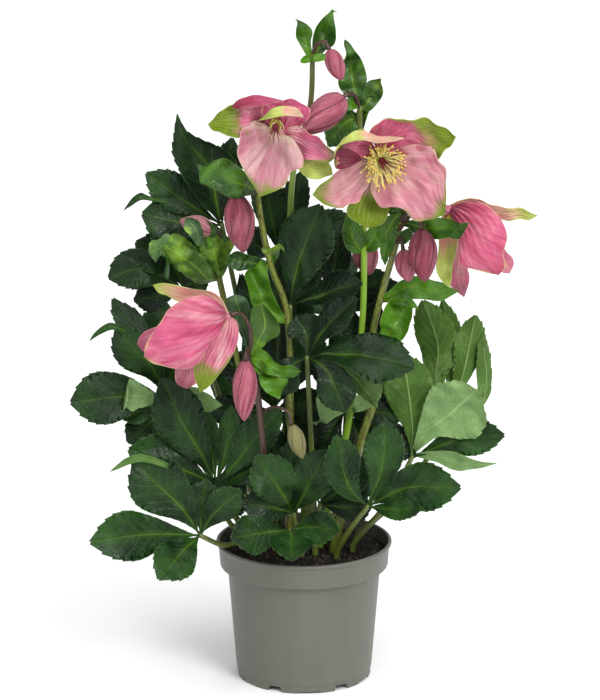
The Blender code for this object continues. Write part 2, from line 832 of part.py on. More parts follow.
def soil(stalks):
    """The potting soil: a slightly lumpy fill with a hole for each stalk."""
    profile = [
        (0, FLOOR_TOP + GAP),
        (BODY_FOOT - WALL - GAP, FLOOR_TOP + GAP),
        (BODY_TOP - WALL - GAP, STEP_HEIGHT + 0.3),
        (BAND_BOTTOM - WALL - GAP, STEP_HEIGHT + 2.9),
        (BAND_BOTTOM - WALL, SOIL_TOP - 1.5),
        (54, SOIL_TOP),
        (38, SOIL_TOP),
        (20, SOIL_TOP),
        (0, SOIL_TOP),
    ]
    points, faces = turned(profile, SOIL_SIDES)
    top = points[:, 2] > SOIL_TOP - 0.1
    reach = np.hypot(points[:, 0], points[:, 1])
    turn = np.arctan2(points[:, 1], points[:, 0])
    lumps = SOIL_LUMP * np.sin(5 * turn + reach / 9) * np.cos(3 * turn - reach / 7)
    points[top, 2] += lumps[top]
    obj = solid("soil", points, faces)
    combined(obj, [hole(root, foot) for root, foot in stalks], "DIFFERENCE")
    return finished(obj, material("potting_soil", (0.018, 0.012, 0.008), 0.95))


def leaf(name, shape):
    """A leaf: its stalk with the toothed blades that spread from the end of it."""
    before, hub = placed_all(shape.stalk)[-2:]
    base = hub - unit(hub - before) * JOINT
    pieces = [rooted(shape)]
    for item in shape.blades:
        rows = WIDE_ROWS if item.width >= WIDE_BLADE else NARROW_ROWS
        if hub[1] > BEHIND:
            rows = BEHIND_ROWS
        pieces.append(slab(blade_grid(base, item, leaflet_outline, rows), BLADE_THICK))
    return fused(name, pieces, material("leaf_green", (0.035, 0.11, 0.025), 0.4))


def stem(name, shape):
    """A flowering stem with its side stalks and leafy bracts."""
    pieces = [rooted(shape)]
    for item in shape.branches:
        seat, axis = ending(item)
        route = np.vstack([placed_all(item.points), seat - 5 * axis])
        curve = along(route, even(3))
        spine = np.vstack([curve, seat])
        pieces.append(tube(spine, np.full(len(spine), item.radius), SIDE_STALK_SIDES))
    for item in shape.bracts:
        rest = replace(item, points=item.points[1:])
        grid = blade_grid(placed(item.points[0]), rest, bract_outline, BRACT_ROWS)
        pieces.append(slab(grid, BLADE_THICK))
    return fused(name, pieces, material("stem_green", (0.13, 0.2, 0.03), 0.5))


def ending(branch):
    """Where a side stalk ends, at the bloom or bud nearest to it, and the way it points."""
    carried = list(BLOOMS.values()) + list(BUDS.values())
    last = placed(branch.points[-1])
    nearest = min(carried, key=lambda item: np.linalg.norm(placed(item.seat) - last))
    seat = placed(nearest.seat)
    return seat, unit(opening(nearest))


def opening(item):
    """The way a bloom or a bud points, from its seat."""
    end = item.aim if isinstance(item, Bloom) else item.tip
    return placed(end) - placed(item.seat)


def bud(name, shape):
    """A closed, five-ribbed bud."""
    axis = opening(shape)
    length = np.linalg.norm(axis) - GAP
    profile = [(0, 0.0)]
    profile += [(shape.radius * width, length * step) for step, width in BUD_SHAPE]
    profile.append((0, length))
    points, faces = turned(profile, 2 * SEPALS, SEPALS, RIBS)
    obj = solid(name, towards(points, placed(shape.seat) + unit(axis) * GAP, axis), faces)
    return finished(obj, material("bud_rose", (0.42, 0.06, 0.12), 0.5))


def sepals(name, shape):
    """The five broad sepals, which grow from a short receptacle."""
    axis = unit(opening(shape))
    seat = placed(shape.seat)
    points, faces = turned(RECEPTACLE, RECEPTACLE_SIDES)
    pieces = [(towards(points, seat, axis), faces)]
    for number, item in enumerate(shape.sepals):
        base = seat + axis * (SEPAL_LOW + SEPAL_LIFT * (number % 3))
        tip = placed(item.tip)
        outward = unit((tip - base) - axis * ((tip - base) @ axis))
        shoulder = base + outward * SEPAL_SHOULDER + axis * 1.5
        spine = np.vstack([base, shoulder, tip])
        open_side = axis + SEPAL_TWIST * np.cross(axis, outward)
        inner_side = open_side if item.faces is None else np.array(item.faces)
        pieces.append(slab(sepal_grid(spine, item.width, open_side, inner_side), SEPAL_THICK))
    return fused(name, pieces, material("sepal_pink", (0.72, 0.2, 0.32), 0.5))


def sepal_grid(points, width, base_side, tip_side):
    """Rows of points across one cupped, wavy sepal."""
    steps = np.array(SEPAL_STEPS)
    spine = along(points, steps)
    tangent = unit(np.gradient(spine, axis=0))
    blend = np.clip(1.6 * steps, 0.0, 1.0)[:, None]
    wanted = base_side * (1 - blend) + tip_side * blend
    upward = unit(wanted - tangent * (wanted * tangent).sum(axis=1, keepdims=True))
    side = np.cross(tangent, upward)
    half = 0.5 * width * sepal_outline(steps)
    half[0] = SEPAL_BASE
    across = np.array(SEPAL_ACROSS)
    reach = half[:, None] * across
    ripple = 0.08 * half[:, None] * np.sin(9 * steps[:, None] + 2 * across[None, :])
    rise = 0.16 * np.abs(reach) * np.abs(across) + ripple * np.abs(across)
    return spine[:, None] + side[:, None] * reach[..., None] + upward[:, None] * rise[..., None]


def stamens(name, shape):
    """The ring of stamens on a disc that carries the nectaries round their foot."""
    axis = unit(opening(shape))
    seat = placed(shape.seat)
    profile = [(0, DISC_LOW), (DISC_RADIUS, DISC_LOW), (DISC_RADIUS, DISC_HIGH), (0, DISC_HIGH)]
    points, faces = turned(profile, DISC_SIDES, SEPALS, NECTARY_LOBES)
    pieces = [(towards(points, seat, axis), faces)]
    for number in range(shape.stamens):
        turn = 2 * pi * number / shape.stamens
        lean = radians(shape.spread + 9 * (number % 2))
        length = FILAMENT_LENGTH - 2.0 * (number % 3)
        way = np.array([sin(turn) * sin(lean), -cos(turn) * sin(lean), cos(lean)])
        foot = np.array([FILAMENT_RING * sin(turn), -FILAMENT_RING * cos(turn), DISC_HIGH - 1.2])
        spine = np.array([foot, foot + way * (length - ANTHER_LENGTH), foot + way * length])
        points, faces = tube(spine, FILAMENT_RADII, FINE_SIDES)
        pieces.append((towards(points, seat, axis), faces))
    return fused(name, pieces, material("stamen_cream", (0.75, 0.65, 0.28), 0.6))


def styles(name, shape):
    """The dark red carpels in the middle of a bloom, with their styles."""
    axis = unit(opening(shape))
    seat = placed(shape.seat)
    high = STYLE_LOW + 2.0
    profile = [(0, STYLE_LOW), (2 * STYLE_RING, STYLE_LOW), (2 * STYLE_RING, high), (0, high)]
    points, faces = turned(profile, 2 * FINE_SIDES)
    pieces = [(towards(points, seat, axis), faces)]
    for number in range(STYLES):
        turn = 2 * pi * (number + 0.5) / STYLES
        way = unit(np.array([0.3 * sin(turn), -0.3 * cos(turn), 1.0]))
        foot = np.array([STYLE_RING * sin(turn), -STYLE_RING * cos(turn), STYLE_LOW + 1.0])
        spine = np.array([foot + way * reach for reach in STYLE_REACH])
        points, faces = tube(spine, STYLE_RADII, FINE_SIDES)
        pieces.append((towards(points, seat, axis), faces))
    return fused(name, pieces, material("style_red", (0.25, 0.012, 0.03), 0.5))


def clear_scene():
    """Remove whatever the scene holds."""
    for obj in list(bpy.data.objects):
        bpy.data.objects.remove(obj, do_unlink=True)


def main():
    """Build the pot, the soil and the plant."""
    clear_scene()
    pot()
    carried = list(LEAVES.values()) + list(STEMS.values())
    soil([(item.root, item.foot) for item in carried])
    for name, shape in LEAVES.items():
        leaf(name, shape)
    for name, shape in STEMS.items():
        stem(name, shape)
    for name, shape in BLOOMS.items():
        sepals(name + "_sepals", shape)
        stamens(name + "_stamens", shape)
        styles(name + "_styles", shape)
    for name, shape in BUDS.items():
        bud(name, shape)


if __name__ == "__main__":
    main()
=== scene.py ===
"""Looks of a potted Christmas rose: a hellebore in bloom in a grey-taupe nursery pot.

The tables are in millimetres and the meshes in metres. +Z is up, the front of the plant
faces -Y, and the origin is the centre of the pot's foot, on the ground.

A point of the plant is written (x, y, rise). x and rise are where the point is seen on the
plane y = 0 from the camera's place, and y is its true depth. placed() turns such points into
true ones. The tables follow the solids of the part, and the surfaces here are finer.
"""

from __future__ import annotations

import logging
import math
from dataclasses import dataclass
from enum import Enum

import bpy
import numpy as np
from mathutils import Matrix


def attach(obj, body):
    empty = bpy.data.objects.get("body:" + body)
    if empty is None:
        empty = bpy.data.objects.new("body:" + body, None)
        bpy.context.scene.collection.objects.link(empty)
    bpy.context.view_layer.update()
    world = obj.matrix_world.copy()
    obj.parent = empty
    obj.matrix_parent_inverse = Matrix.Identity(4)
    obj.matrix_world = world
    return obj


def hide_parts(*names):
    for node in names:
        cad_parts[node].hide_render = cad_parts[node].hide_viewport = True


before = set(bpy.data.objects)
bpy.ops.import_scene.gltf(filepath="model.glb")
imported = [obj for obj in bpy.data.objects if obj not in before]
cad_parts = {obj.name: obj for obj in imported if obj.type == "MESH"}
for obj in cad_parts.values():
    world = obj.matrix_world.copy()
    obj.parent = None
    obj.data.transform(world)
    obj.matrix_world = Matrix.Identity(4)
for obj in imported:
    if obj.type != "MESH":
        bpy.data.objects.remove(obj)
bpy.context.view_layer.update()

log = logging.getLogger("christmas_rose")

MM = 0.001
TURN = 2 * math.pi
AXIS = np.array([0.0, 0.0, 1.0])

# The eye that the tables are read from, and the picture's frame in pixels
EYE_X = -3.0
EYE_DISTANCE = 3000.0
EYE_HEIGHT = 1098.0
AIM_HEIGHT = 249.2
FOCAL_PIXELS = 4262.0
HALF_HEIGHT_PIXELS = 350.0

# Depths and gaps that the plant shares with its pot
SOIL_TOP = 96.5
HOLE_DEPTH = 14.0
SOIL_CLEAR = 4.0
JOINT = 1.6
GAP = 0.35
SHELL_THICKNESS = 0.42

# A bloom whose stamens spread by less than this, in degrees, hangs half closed
NODDING = 30.0

# A leaf that spreads from a point deeper than this is hidden, and has coarser blades
HIDDEN = 40.0

# What keeps the random draws of the pieces apart
BLADE_SEEDS = 31
SPUR_SEEDS = 20
BRACT_SEEDS = 37
SEPAL_SEEDS = 11
THREAD_SEEDS = 13
LITTER_SEED = 21

# Facing directions of the upper side of a blade
FRONT = (0.0, -0.9, 0.45)
OPEN = (0.0, -0.65, 0.75)
LEFT = (-0.6, -0.55, 0.55)
BACK = (0.0, 0.85, 0.5)
AWAY = (0.0, 0.5, 0.85)

Point = tuple[float, float, float]
Root = tuple[float, float]
Colour = tuple[float, float, float]
Array = np.ndarray
Socket = bpy.types.NodeSocket
Material = bpy.types.Material
Object = bpy.types.Object


class Skin(Enum):
    """Which finish a stalk or a stem wears."""

    GREEN = "green"
    BRIGHT = "bright"
    SPECKLED = "speckled"
    PURPLE = "purple"
    FADED = "faded"


@dataclass(frozen=True)
class Blade:
    """A leaflet or bract, whose midrib runs from its base through these points."""

    width: float
    faces: Point
    points: tuple[Point, ...]


def blade(width: float, faces: Point, *points: Point) -> Blade:
    """A Blade with its points written out one after the other."""
    return Blade(width, faces, points)


@dataclass(frozen=True)
class Shell:
    """A free-form blade, given by the points of its two margins between its base and its tip.

    faces is the way that its inner side faces, and cup how far the middle is pushed back from
    it, as a share of the half width. From the share turn of its length it takes its second
    colour: green at a sepal's tip, and the pale lower side where a leaf rolls over. A cream one
    is a margin of a sepal that is rolled inwards.
    """

    left: tuple[Point, ...]
    right: tuple[Point, ...]
    tip: Point
    base: Point | None = None
    faces: Point = FRONT
    cup: float = 0.25
    teeth: int = 0
    # a tone above 1.1 darkens a sepal with painted shade, the shadow inside a fold
    tone: float = 0.5
    turn: float = 2.0
    cream: bool = False


@dataclass(frozen=True)
class LeafPlan:
    """A stalk that leaves the soil at root and carries its blades at the last point.

    A spur is a blade or shell with a base of its own, such as a tip that curls over. A deep leaf
    lies inside the foliage and has the darker of the two greens, which is painted shade.
    """

    root: Root
    stalk: tuple[Point, ...]
    blades: tuple[Blade, ...]
    foot: float = 2.4
    neck: float = 1.7
    skin: Skin = Skin.GREEN
    spurs: tuple[Blade | Shell, ...] = ()
    # painted shade: a deep leaf lies inside the foliage and wears the darker green
    deep: bool = False


@dataclass(frozen=True)
class Branch:
    """A side stalk from a point of the stem. It ends square to the bloom or bud it carries."""

    points: tuple[Point, ...]
    radius: float = 1.5


@dataclass(frozen=True)
class StemPlan:
    """A flowering stem with its side stalks and bracts; each bract has a base of its own."""

    root: Root
    stalk: tuple[Point, ...]
    branches: tuple[Branch, ...]
    bracts: tuple[Blade | Shell, ...]
    foot: float = 2.8
    neck: float = 2.1
    skin: Skin = Skin.SPECKLED


@dataclass(frozen=True)
class BloomPlan:
    """An open bloom: its back sits at seat and it opens towards aim.

    The inner side of each sepal faces the bloom's axis. Its stamens lean out by up to spread
    degrees, and its styles bend by droop. Raised moves the threads from the back of the bloom.
    """

    seat: Point
    aim: Point
    sepals: tuple[Shell, ...]
    stamens: int
    spread: float
    droop: Point = (0.0, 0.0, -4.0)
    raised: Point = (0.0, 0.0, 0.0)
    shed: bool = False


@dataclass(frozen=True)
class BudPlan:
    """A closed bloom that hangs from seat to tip. A lower power makes its ends rounder."""

    seat: Point
    tip: Point
    radius: float
    blush: float = 0.5
    green: float = 0.0
    power: float = 0.72


def only(kind: type | tuple[type, ...], items: tuple) -> tuple:
    """The items of this kind, in their order."""
    return tuple(item for item in items if isinstance(item, kind))


def leaf(root: Root, stalk: tuple[Point, ...], *items: Blade | Shell, **rest: object) -> LeafPlan:
    """A LeafPlan with its blades written out, and its spurs, the Shells, after them."""
    return LeafPlan(root, stalk, only(Blade, items), spurs=only(Shell, items), **rest)


def stem(root: Root, stalk: tuple[Point, ...], *items: Branch | Blade | Shell, **rest: object) -> StemPlan:
    """A StemPlan with its branches written out, and its bracts after them."""
    return StemPlan(root, stalk, only(Branch, items), only((Blade, Shell), items), **rest)


def bloom(seat: Point, aim: Point, *sepals: Shell, **rest: object) -> BloomPlan:
    """A BloomPlan with its sepals written out one after the other."""
    return BloomPlan(seat, aim, sepals, **rest)


LEAVES: dict[str, LeafPlan] = {
    "leaf_low_left": leaf((-36, -14), ((-50, -24, 100), (-61, -31, 99), (-78, -42, 107)),
        blade(37, FRONT, (-118, -62, 107), (-158, -90, 101)),
        blade(32, FRONT, (-92, -66, 92), (-108, -94, 72)),
        blade(42, FRONT, (-93, -46, 130), (-112, -50, 150), (-125, -54, 165)),
        blade(24, FRONT, (-76, -40, 128), (-72, -38, 150)),
        blade(24, FRONT, (-66, -44, 124), (-47, -46, 142)),
        Shell(((-110, -56, 167), (-122, -58, 169.5), (-132, -58, 166), (-139, -58, 160)),
            ((-112, -57, 162), (-121, -59, 163.5), (-130, -59, 161), (-138, -59, 157.5)), (-143, -58, 156),
            base=(-100, -53, 160), tone=0.55, turn=0.0)),
    "leaf_left": leaf((-32, 2), ((-52, -4, 122), (-66, -12, 147)),
        blade(38, FRONT, (-76, -14, 170), (-92, -18, 197), (-104, -24, 227)),
        blade(15, OPEN, (-73, -6, 205)),
        blade(38, FRONT, (-96, -20, 160), (-129, -28, 173)),
        blade(17, OPEN, (-56, -10, 176), (-53, -8, 206)),
        blade(27, FRONT, (-48, -14, 165), (-17, -20, 204)),
        blade(25, OPEN, (-46, -14, 152), (-25, -18, 164))),
    "leaf_front": leaf((-12, -26), ((-11, -38, 106), (-10, -47, 111)),
        blade(30, FRONT, (-32, -60, 108), (-54, -80, 104)),
        blade(32, OPEN, (-10, -78, 100), (-9, -107, 87)),
        blade(25, FRONT, (8, -64, 113), (26, -86, 110))),
    "leaf_front_centre": leaf((-2, -16), ((-6, -20, 112), (-8, -24, 125)),
        blade(33, FRONT, (-20, -36, 144), (-35, -42, 168)),
        blade(32, FRONT, (4, -36, 146), (17, -42, 172)),
        blade(24, FRONT, (-24, -38, 128), (-46, -44, 132)),
        blade(26, FRONT, (-8, -31, 150), (-10, -32, 180))),
    "leaf_low_right": leaf((24, -22), ((36, -32, 114), (48, -38, 130)),
        blade(30, FRONT, (30, -44, 148), (23, -48, 183)),
        blade(30, FRONT, (58, -40, 160), (60, -38, 195)),
        blade(36, FRONT, (80, -58, 145), (115, -88, 144)),
        blade(18, FRONT, (66, -56, 126), (88, -78, 127)),
        blade(6, FRONT, (64, -46, 150))),
    "leaf_right": leaf((36, -6), ((62, -4, 132), (80, 0, 168)),
        blade(36, BACK, (80, -4, 190), (72, -10, 246)),
        blade(27, FRONT, (112, -4, 180), (147, -12, 184)),
        Shell(((94, -9, 172), (110, -16, 171.5), (126, -22, 165)),
            ((94, -7, 164), (110, -14, 157.5), (126, -22, 158)), (142, -27, 162), base=(83, -2, 169),
            cup=0.15, tone=0.75, turn=0.0),
        Shell(((85, -8, 196), (89, -12, 211), (95, -15, 222), (107, -18, 225.5), (117, -20, 225)),
            ((98, -8, 182), (114, -12, 181), (127, -16, 183), (134, -20, 194), (132, -22, 206)),
            (127, -22, 218), base=(81, -2, 172), tone=0.8, turn=0.0, teeth=16)),
    "leaf_high_right": leaf((38, 12), ((74, 20, 140), (108, 24, 196)),
        blade(31, BACK, (95, 22, 224), (96, 20, 250), (87, 14, 287)),
        blade(19, BACK, (109, 28, 240), (101, 30, 287)),
        blade(23, BACK, (120, 22, 238), (125, 18, 276)),
        blade(16, BACK, (131, 26, 203), (135.5, 26, 228), (130.5, 26, 261))),
    "leaf_centre": leaf((8, -6), ((6, -10, 160), (2, -26, 245)),
        blade(42, OPEN, (35, -34, 243), (80, -44, 236)),
        blade(28, FRONT, (18, -38, 232), (30, -48, 202)),
        blade(24, OPEN, (16, -32, 262), (38, -36, 289)),
        blade(26, OPEN, (2, -20, 260), (-6, -16, 275)),
        blade(25, FRONT, (-10, -34, 236), (-20, -36, 216)),
        blade(18, BACK, (34, -24, 228), (54, -26, 206)),
        deep=True),
    "leaf_upper_centre": leaf((-8, 8), ((-12, 4, 180), (-10, -4, 284)),
        blade(42, OPEN, (-2, -8, 315), (12, -16, 358)),
        blade(30, OPEN, (16, -8, 290), (42, -14, 300)),
        blade(7, OPEN, (14, -12, 306)),
        deep=True),
    "leaf_upper_left": leaf((-18, 24), ((-36, 22, 220), (-60, 12, 345)),
        blade(28, FRONT, (-90, 14, 362), (-114, 10, 382)),
        blade(42, FRONT, (-86, 10, 344), (-100, 7, 346), (-117, 1, 352)),
        blade(9, OPEN, (-77, 14, 369)),
        blade(22, OPEN, (-56, 18, 376), (-52, 20, 408)),
        Shell(((-76, 9, 362), (-87, 6, 378), (-95, 4, 396), (-94, 3, 412)),
            ((-54, 10, 366), (-48, 9, 388), (-60, 7, 401), (-72, 6, 406), (-84, 4, 413)), (-91.5, 2, 426),
            base=(-61, 11, 347), tone=0.1, teeth=13),
        Shell(((-112, 0, 365), (-119, -2, 367.5), (-126, -4, 362)),
            ((-110, -1, 361), (-118, -3, 362), (-125, -4, 358)), (-131, -5, 354), base=(-100, 2, 361),
            tone=0.45)),
    "leaf_mid_left": leaf((-30, 24), ((-58, 26, 200), (-88, 14, 296)),
        blade(30, FRONT, (-106, 8, 306), (-122, 4, 311), (-142, 2, 304)),
        blade(32, OPEN, (-99, 12, 314), (-122, 8, 331)),
        blade(20, OPEN, (-86, 22, 320), (-78, 24, 338)),
        blade(22, FRONT, (-104, 16, 290), (-124, 14, 287)),
        blade(22, FRONT, (-82, 12, 300), (-72, 10, 293)),
        deep=True),
    "leaf_far_left": leaf((-42, 14), ((-74, 12, 160), (-102, 2, 214)),
        blade(30, LEFT, (-112, 6, 252), (-122, 6, 270), (-139, 2, 288)),
        blade(32, FRONT, (-106, 10, 250), (-103, 12, 287)),
        blade(26, FRONT, (-98, 6, 228), (-90, 8, 252)),
        blade(30, FRONT, (-112, -4, 238), (-127, -8, 253), (-137, -11, 267)),
        blade(40, FRONT, (-132, -14, 213.5), (-171, -22, 209)),
        blade(19, OPEN, (-116, -12, 203), (-133, -18, 196)),
        blade(26, FRONT, (-112, -4, 194), (-130, -6, 179)),
        Shell(((-133, -13, 267), (-141, -14, 270), (-148, -14, 267), (-154, -14, 261)),
            ((-132, -14, 262), (-140, -15, 264.5), (-147, -15, 262), (-153, -15, 258.5)), (-157, -14, 256),
            base=(-124, -9, 262), tone=0.45),
        Shell(((-114, -21, 219), (-122, -25, 225), (-128, -26, 227)),
            ((-116, -21, 206), (-126, -25, 202), (-133, -26, 199)), (-131, -26, 212), base=(-103, -14, 212),
            tone=0.8, turn=0.0, teeth=5),
        Shell(((-94, -8, 221), (-84, -10, 222), (-72, -11, 217)),
            ((-94, -8, 210), (-84, -10, 204), (-70, -12, 202)), (-60, -12, 207), base=(-102, 1, 215),
            tone=0.68, turn=0.0, teeth=6)),
    "leaf_behind_blooms": leaf((-6, 32), ((-14, 34, 220), (-16, 36, 318)),
        blade(22, OPEN, (-9, 36, 346), (-1, 34, 384)),
        blade(26, OPEN, (8, 36, 336), (34, 34, 350)),
        blade(26, OPEN, (-26, 34, 350), (-30, 32, 384)),
        blade(26, OPEN, (-34, 32, 326), (-44, 26, 340)),
        deep=True),
    "leaf_back_left": leaf((-34, 36), ((-42, 50, 130), (-48, 62, 180)),
        blade(30, AWAY, (-68, 72, 196), (-88, 84, 202)),
        blade(30, AWAY, (-60, 84, 172), (-72, 100, 158)),
        blade(28, AWAY, (-50, 88, 192), (-50, 106, 188)),
        blade(28, OPEN, (-54, 66, 212), (-60, 70, 246)),
        blade(28, AWAY, (-30, 72, 188), (-16, 84, 194))),
    "leaf_back_low": leaf((4, 50), ((4, 56, 120), (4, 62, 138)),
        blade(28, OPEN, (-12, 70, 146), (-30, 78, 156)),
        blade(28, OPEN, (-4, 70, 160), (-12, 76, 184)),
        blade(28, OPEN, (14, 72, 160), (22, 80, 184)),
        blade(28, OPEN, (24, 74, 144), (44, 82, 154))),
    "leaf_back": leaf((-10, 46), ((-22, 58, 150), (-8, 74, 216)),
        blade(30, OPEN, (-26, 84, 240), (-44, 96, 256)),
        blade(30, OPEN, (-8, 88, 248), (-8, 104, 272)),
        blade(30, AWAY, (12, 90, 232), (30, 102, 240)),
        blade(28, AWAY, (8, 92, 204), (18, 105, 184))),
    "leaf_back_right": leaf((16, 36), ((32, 48, 140), (44, 56, 190)),
        blade(30, AWAY, (62, 70, 208), (82, 84, 216)),
        blade(30, AWAY, (58, 78, 186), (72, 96, 176)),
        blade(28, AWAY, (42, 84, 200), (36, 104, 206)),
        blade(28, OPEN, (50, 64, 224), (56, 70, 254))),
    "leaf_back_high": leaf((12, 22), ((20, 40, 200), (26, 52, 270)),
        blade(28, OPEN, (44, 60, 290), (64, 66, 302)),
        blade(28, OPEN, (26, 66, 300), (22, 78, 328)),
        blade(26, AWAY, (44, 66, 268), (68, 76, 262)),
        blade(26, OPEN, (8, 62, 284), (-12, 70, 296))),
}

# Leaves inside the foliage that fill its gaps; they wear the darker green, which is painted shade
INNER: dict[str, LeafPlan] = {
    "inner_left": leaf((-24, 10), ((-27, 12, 150), (-22, 14, 205)),
        blade(30, OPEN, (-40, 12, 226), (-60, 10, 242)),
        blade(32, OPEN, (-28, 12, 236), (-36, 10, 266)),
        blade(30, OPEN, (0, 12, 240), (14, 8, 270)),
        blade(28, OPEN, (-20, 14, 262), (-20, 14, 318)),
        blade(26, OPEN, (-8, 14, 250), (2, 12, 294)),
        blade(28, FRONT, (-30, 6, 190), (-44, 2, 174)),
        blade(26, FRONT, (-8, 6, 192), (4, 2, 170)),
        blade(20, FRONT, (-24, 6, 190), (-20, 2, 164)),
        blade(24, FRONT, (-46, 8, 202), (-72, 4, 204)),
        blade(24, OPEN, (-38, 12, 260), (-46, 8, 306)),
        blade(26, FRONT, (-2, 8, 208), (16, 2, 200)),
        deep=True),
    "inner_right": leaf((26, 8), ((28, 12, 150), (31, 16, 205)),
        blade(28, OPEN, (16, 14, 230), (10, 12, 254)),
        blade(30, OPEN, (34, 16, 240), (36, 14, 278)),
        blade(28, OPEN, (48, 14, 240), (54, 12, 286)),
        blade(28, FRONT, (48, 10, 202), (73, 4, 199)),
        blade(26, FRONT, (56, 8, 186), (82, 3, 168)),
        blade(26, FRONT, (20, 10, 188), (12, 6, 168)),
        blade(24, FRONT, (40, 10, 184), (46, 6, 166)),
        Shell(((38, -14, 213), (44, -15, 220), (50, -15, 223)),
            ((44, -14, 203), (52, -15, 208), (57, -15, 216)), (57, -15, 224), base=(36, -13, 203), tone=0.8,
            turn=0.0, teeth=4),
        Shell(((10, -20, 203), (9, -21, 213), (13, -21, 220)),
            ((22, -20, 197), (30, -21, 202), (33, -21, 209)), (24, -21, 216), base=(14, -19, 193), tone=0.7,
            turn=0.0, teeth=4),
        deep=True),
    "inner_high": leaf((14, 16), ((18, 26, 200), (20, 28, 275)),
        blade(22, OPEN, (22, 30, 305), (27, 28, 341)),
        blade(24, OPEN, (36, 30, 290), (62, 28, 306)),
        blade(24, OPEN, (42, 26, 284), (68, 22, 300)),
        blade(28, OPEN, (2, 26, 300), (-20, 24, 334)),
        blade(24, OPEN, (-4, 24, 268), (-26, 20, 258)),
        deep=True),
    "inner_low": leaf((-44, -2), ((-52, -4, 112), (-60, -8, 124)),
        blade(26, FRONT, (-70, -12, 136), (-86, -16, 150)),
        blade(24, FRONT, (-56, -12, 138), (-52, -14, 158)),
        blade(18, FRONT, (-52, -8, 130), (-42, -10, 132)),
        deep=True),
    "inner_front": leaf((8, -14), ((10, -10, 118), (12, -12, 132)),
        blade(28, FRONT, (20, -10, 150), (30, -8, 172)),
        blade(28, FRONT, (2, -8, 152), (-2, -6, 178)),
        blade(24, FRONT, (28, -14, 128), (50, -14, 129)),
        blade(24, FRONT, (32, -12, 146), (46, -12, 166)),
        blade(22, FRONT, (30, -10, 138), (50, -8, 148)),
        deep=True),
}

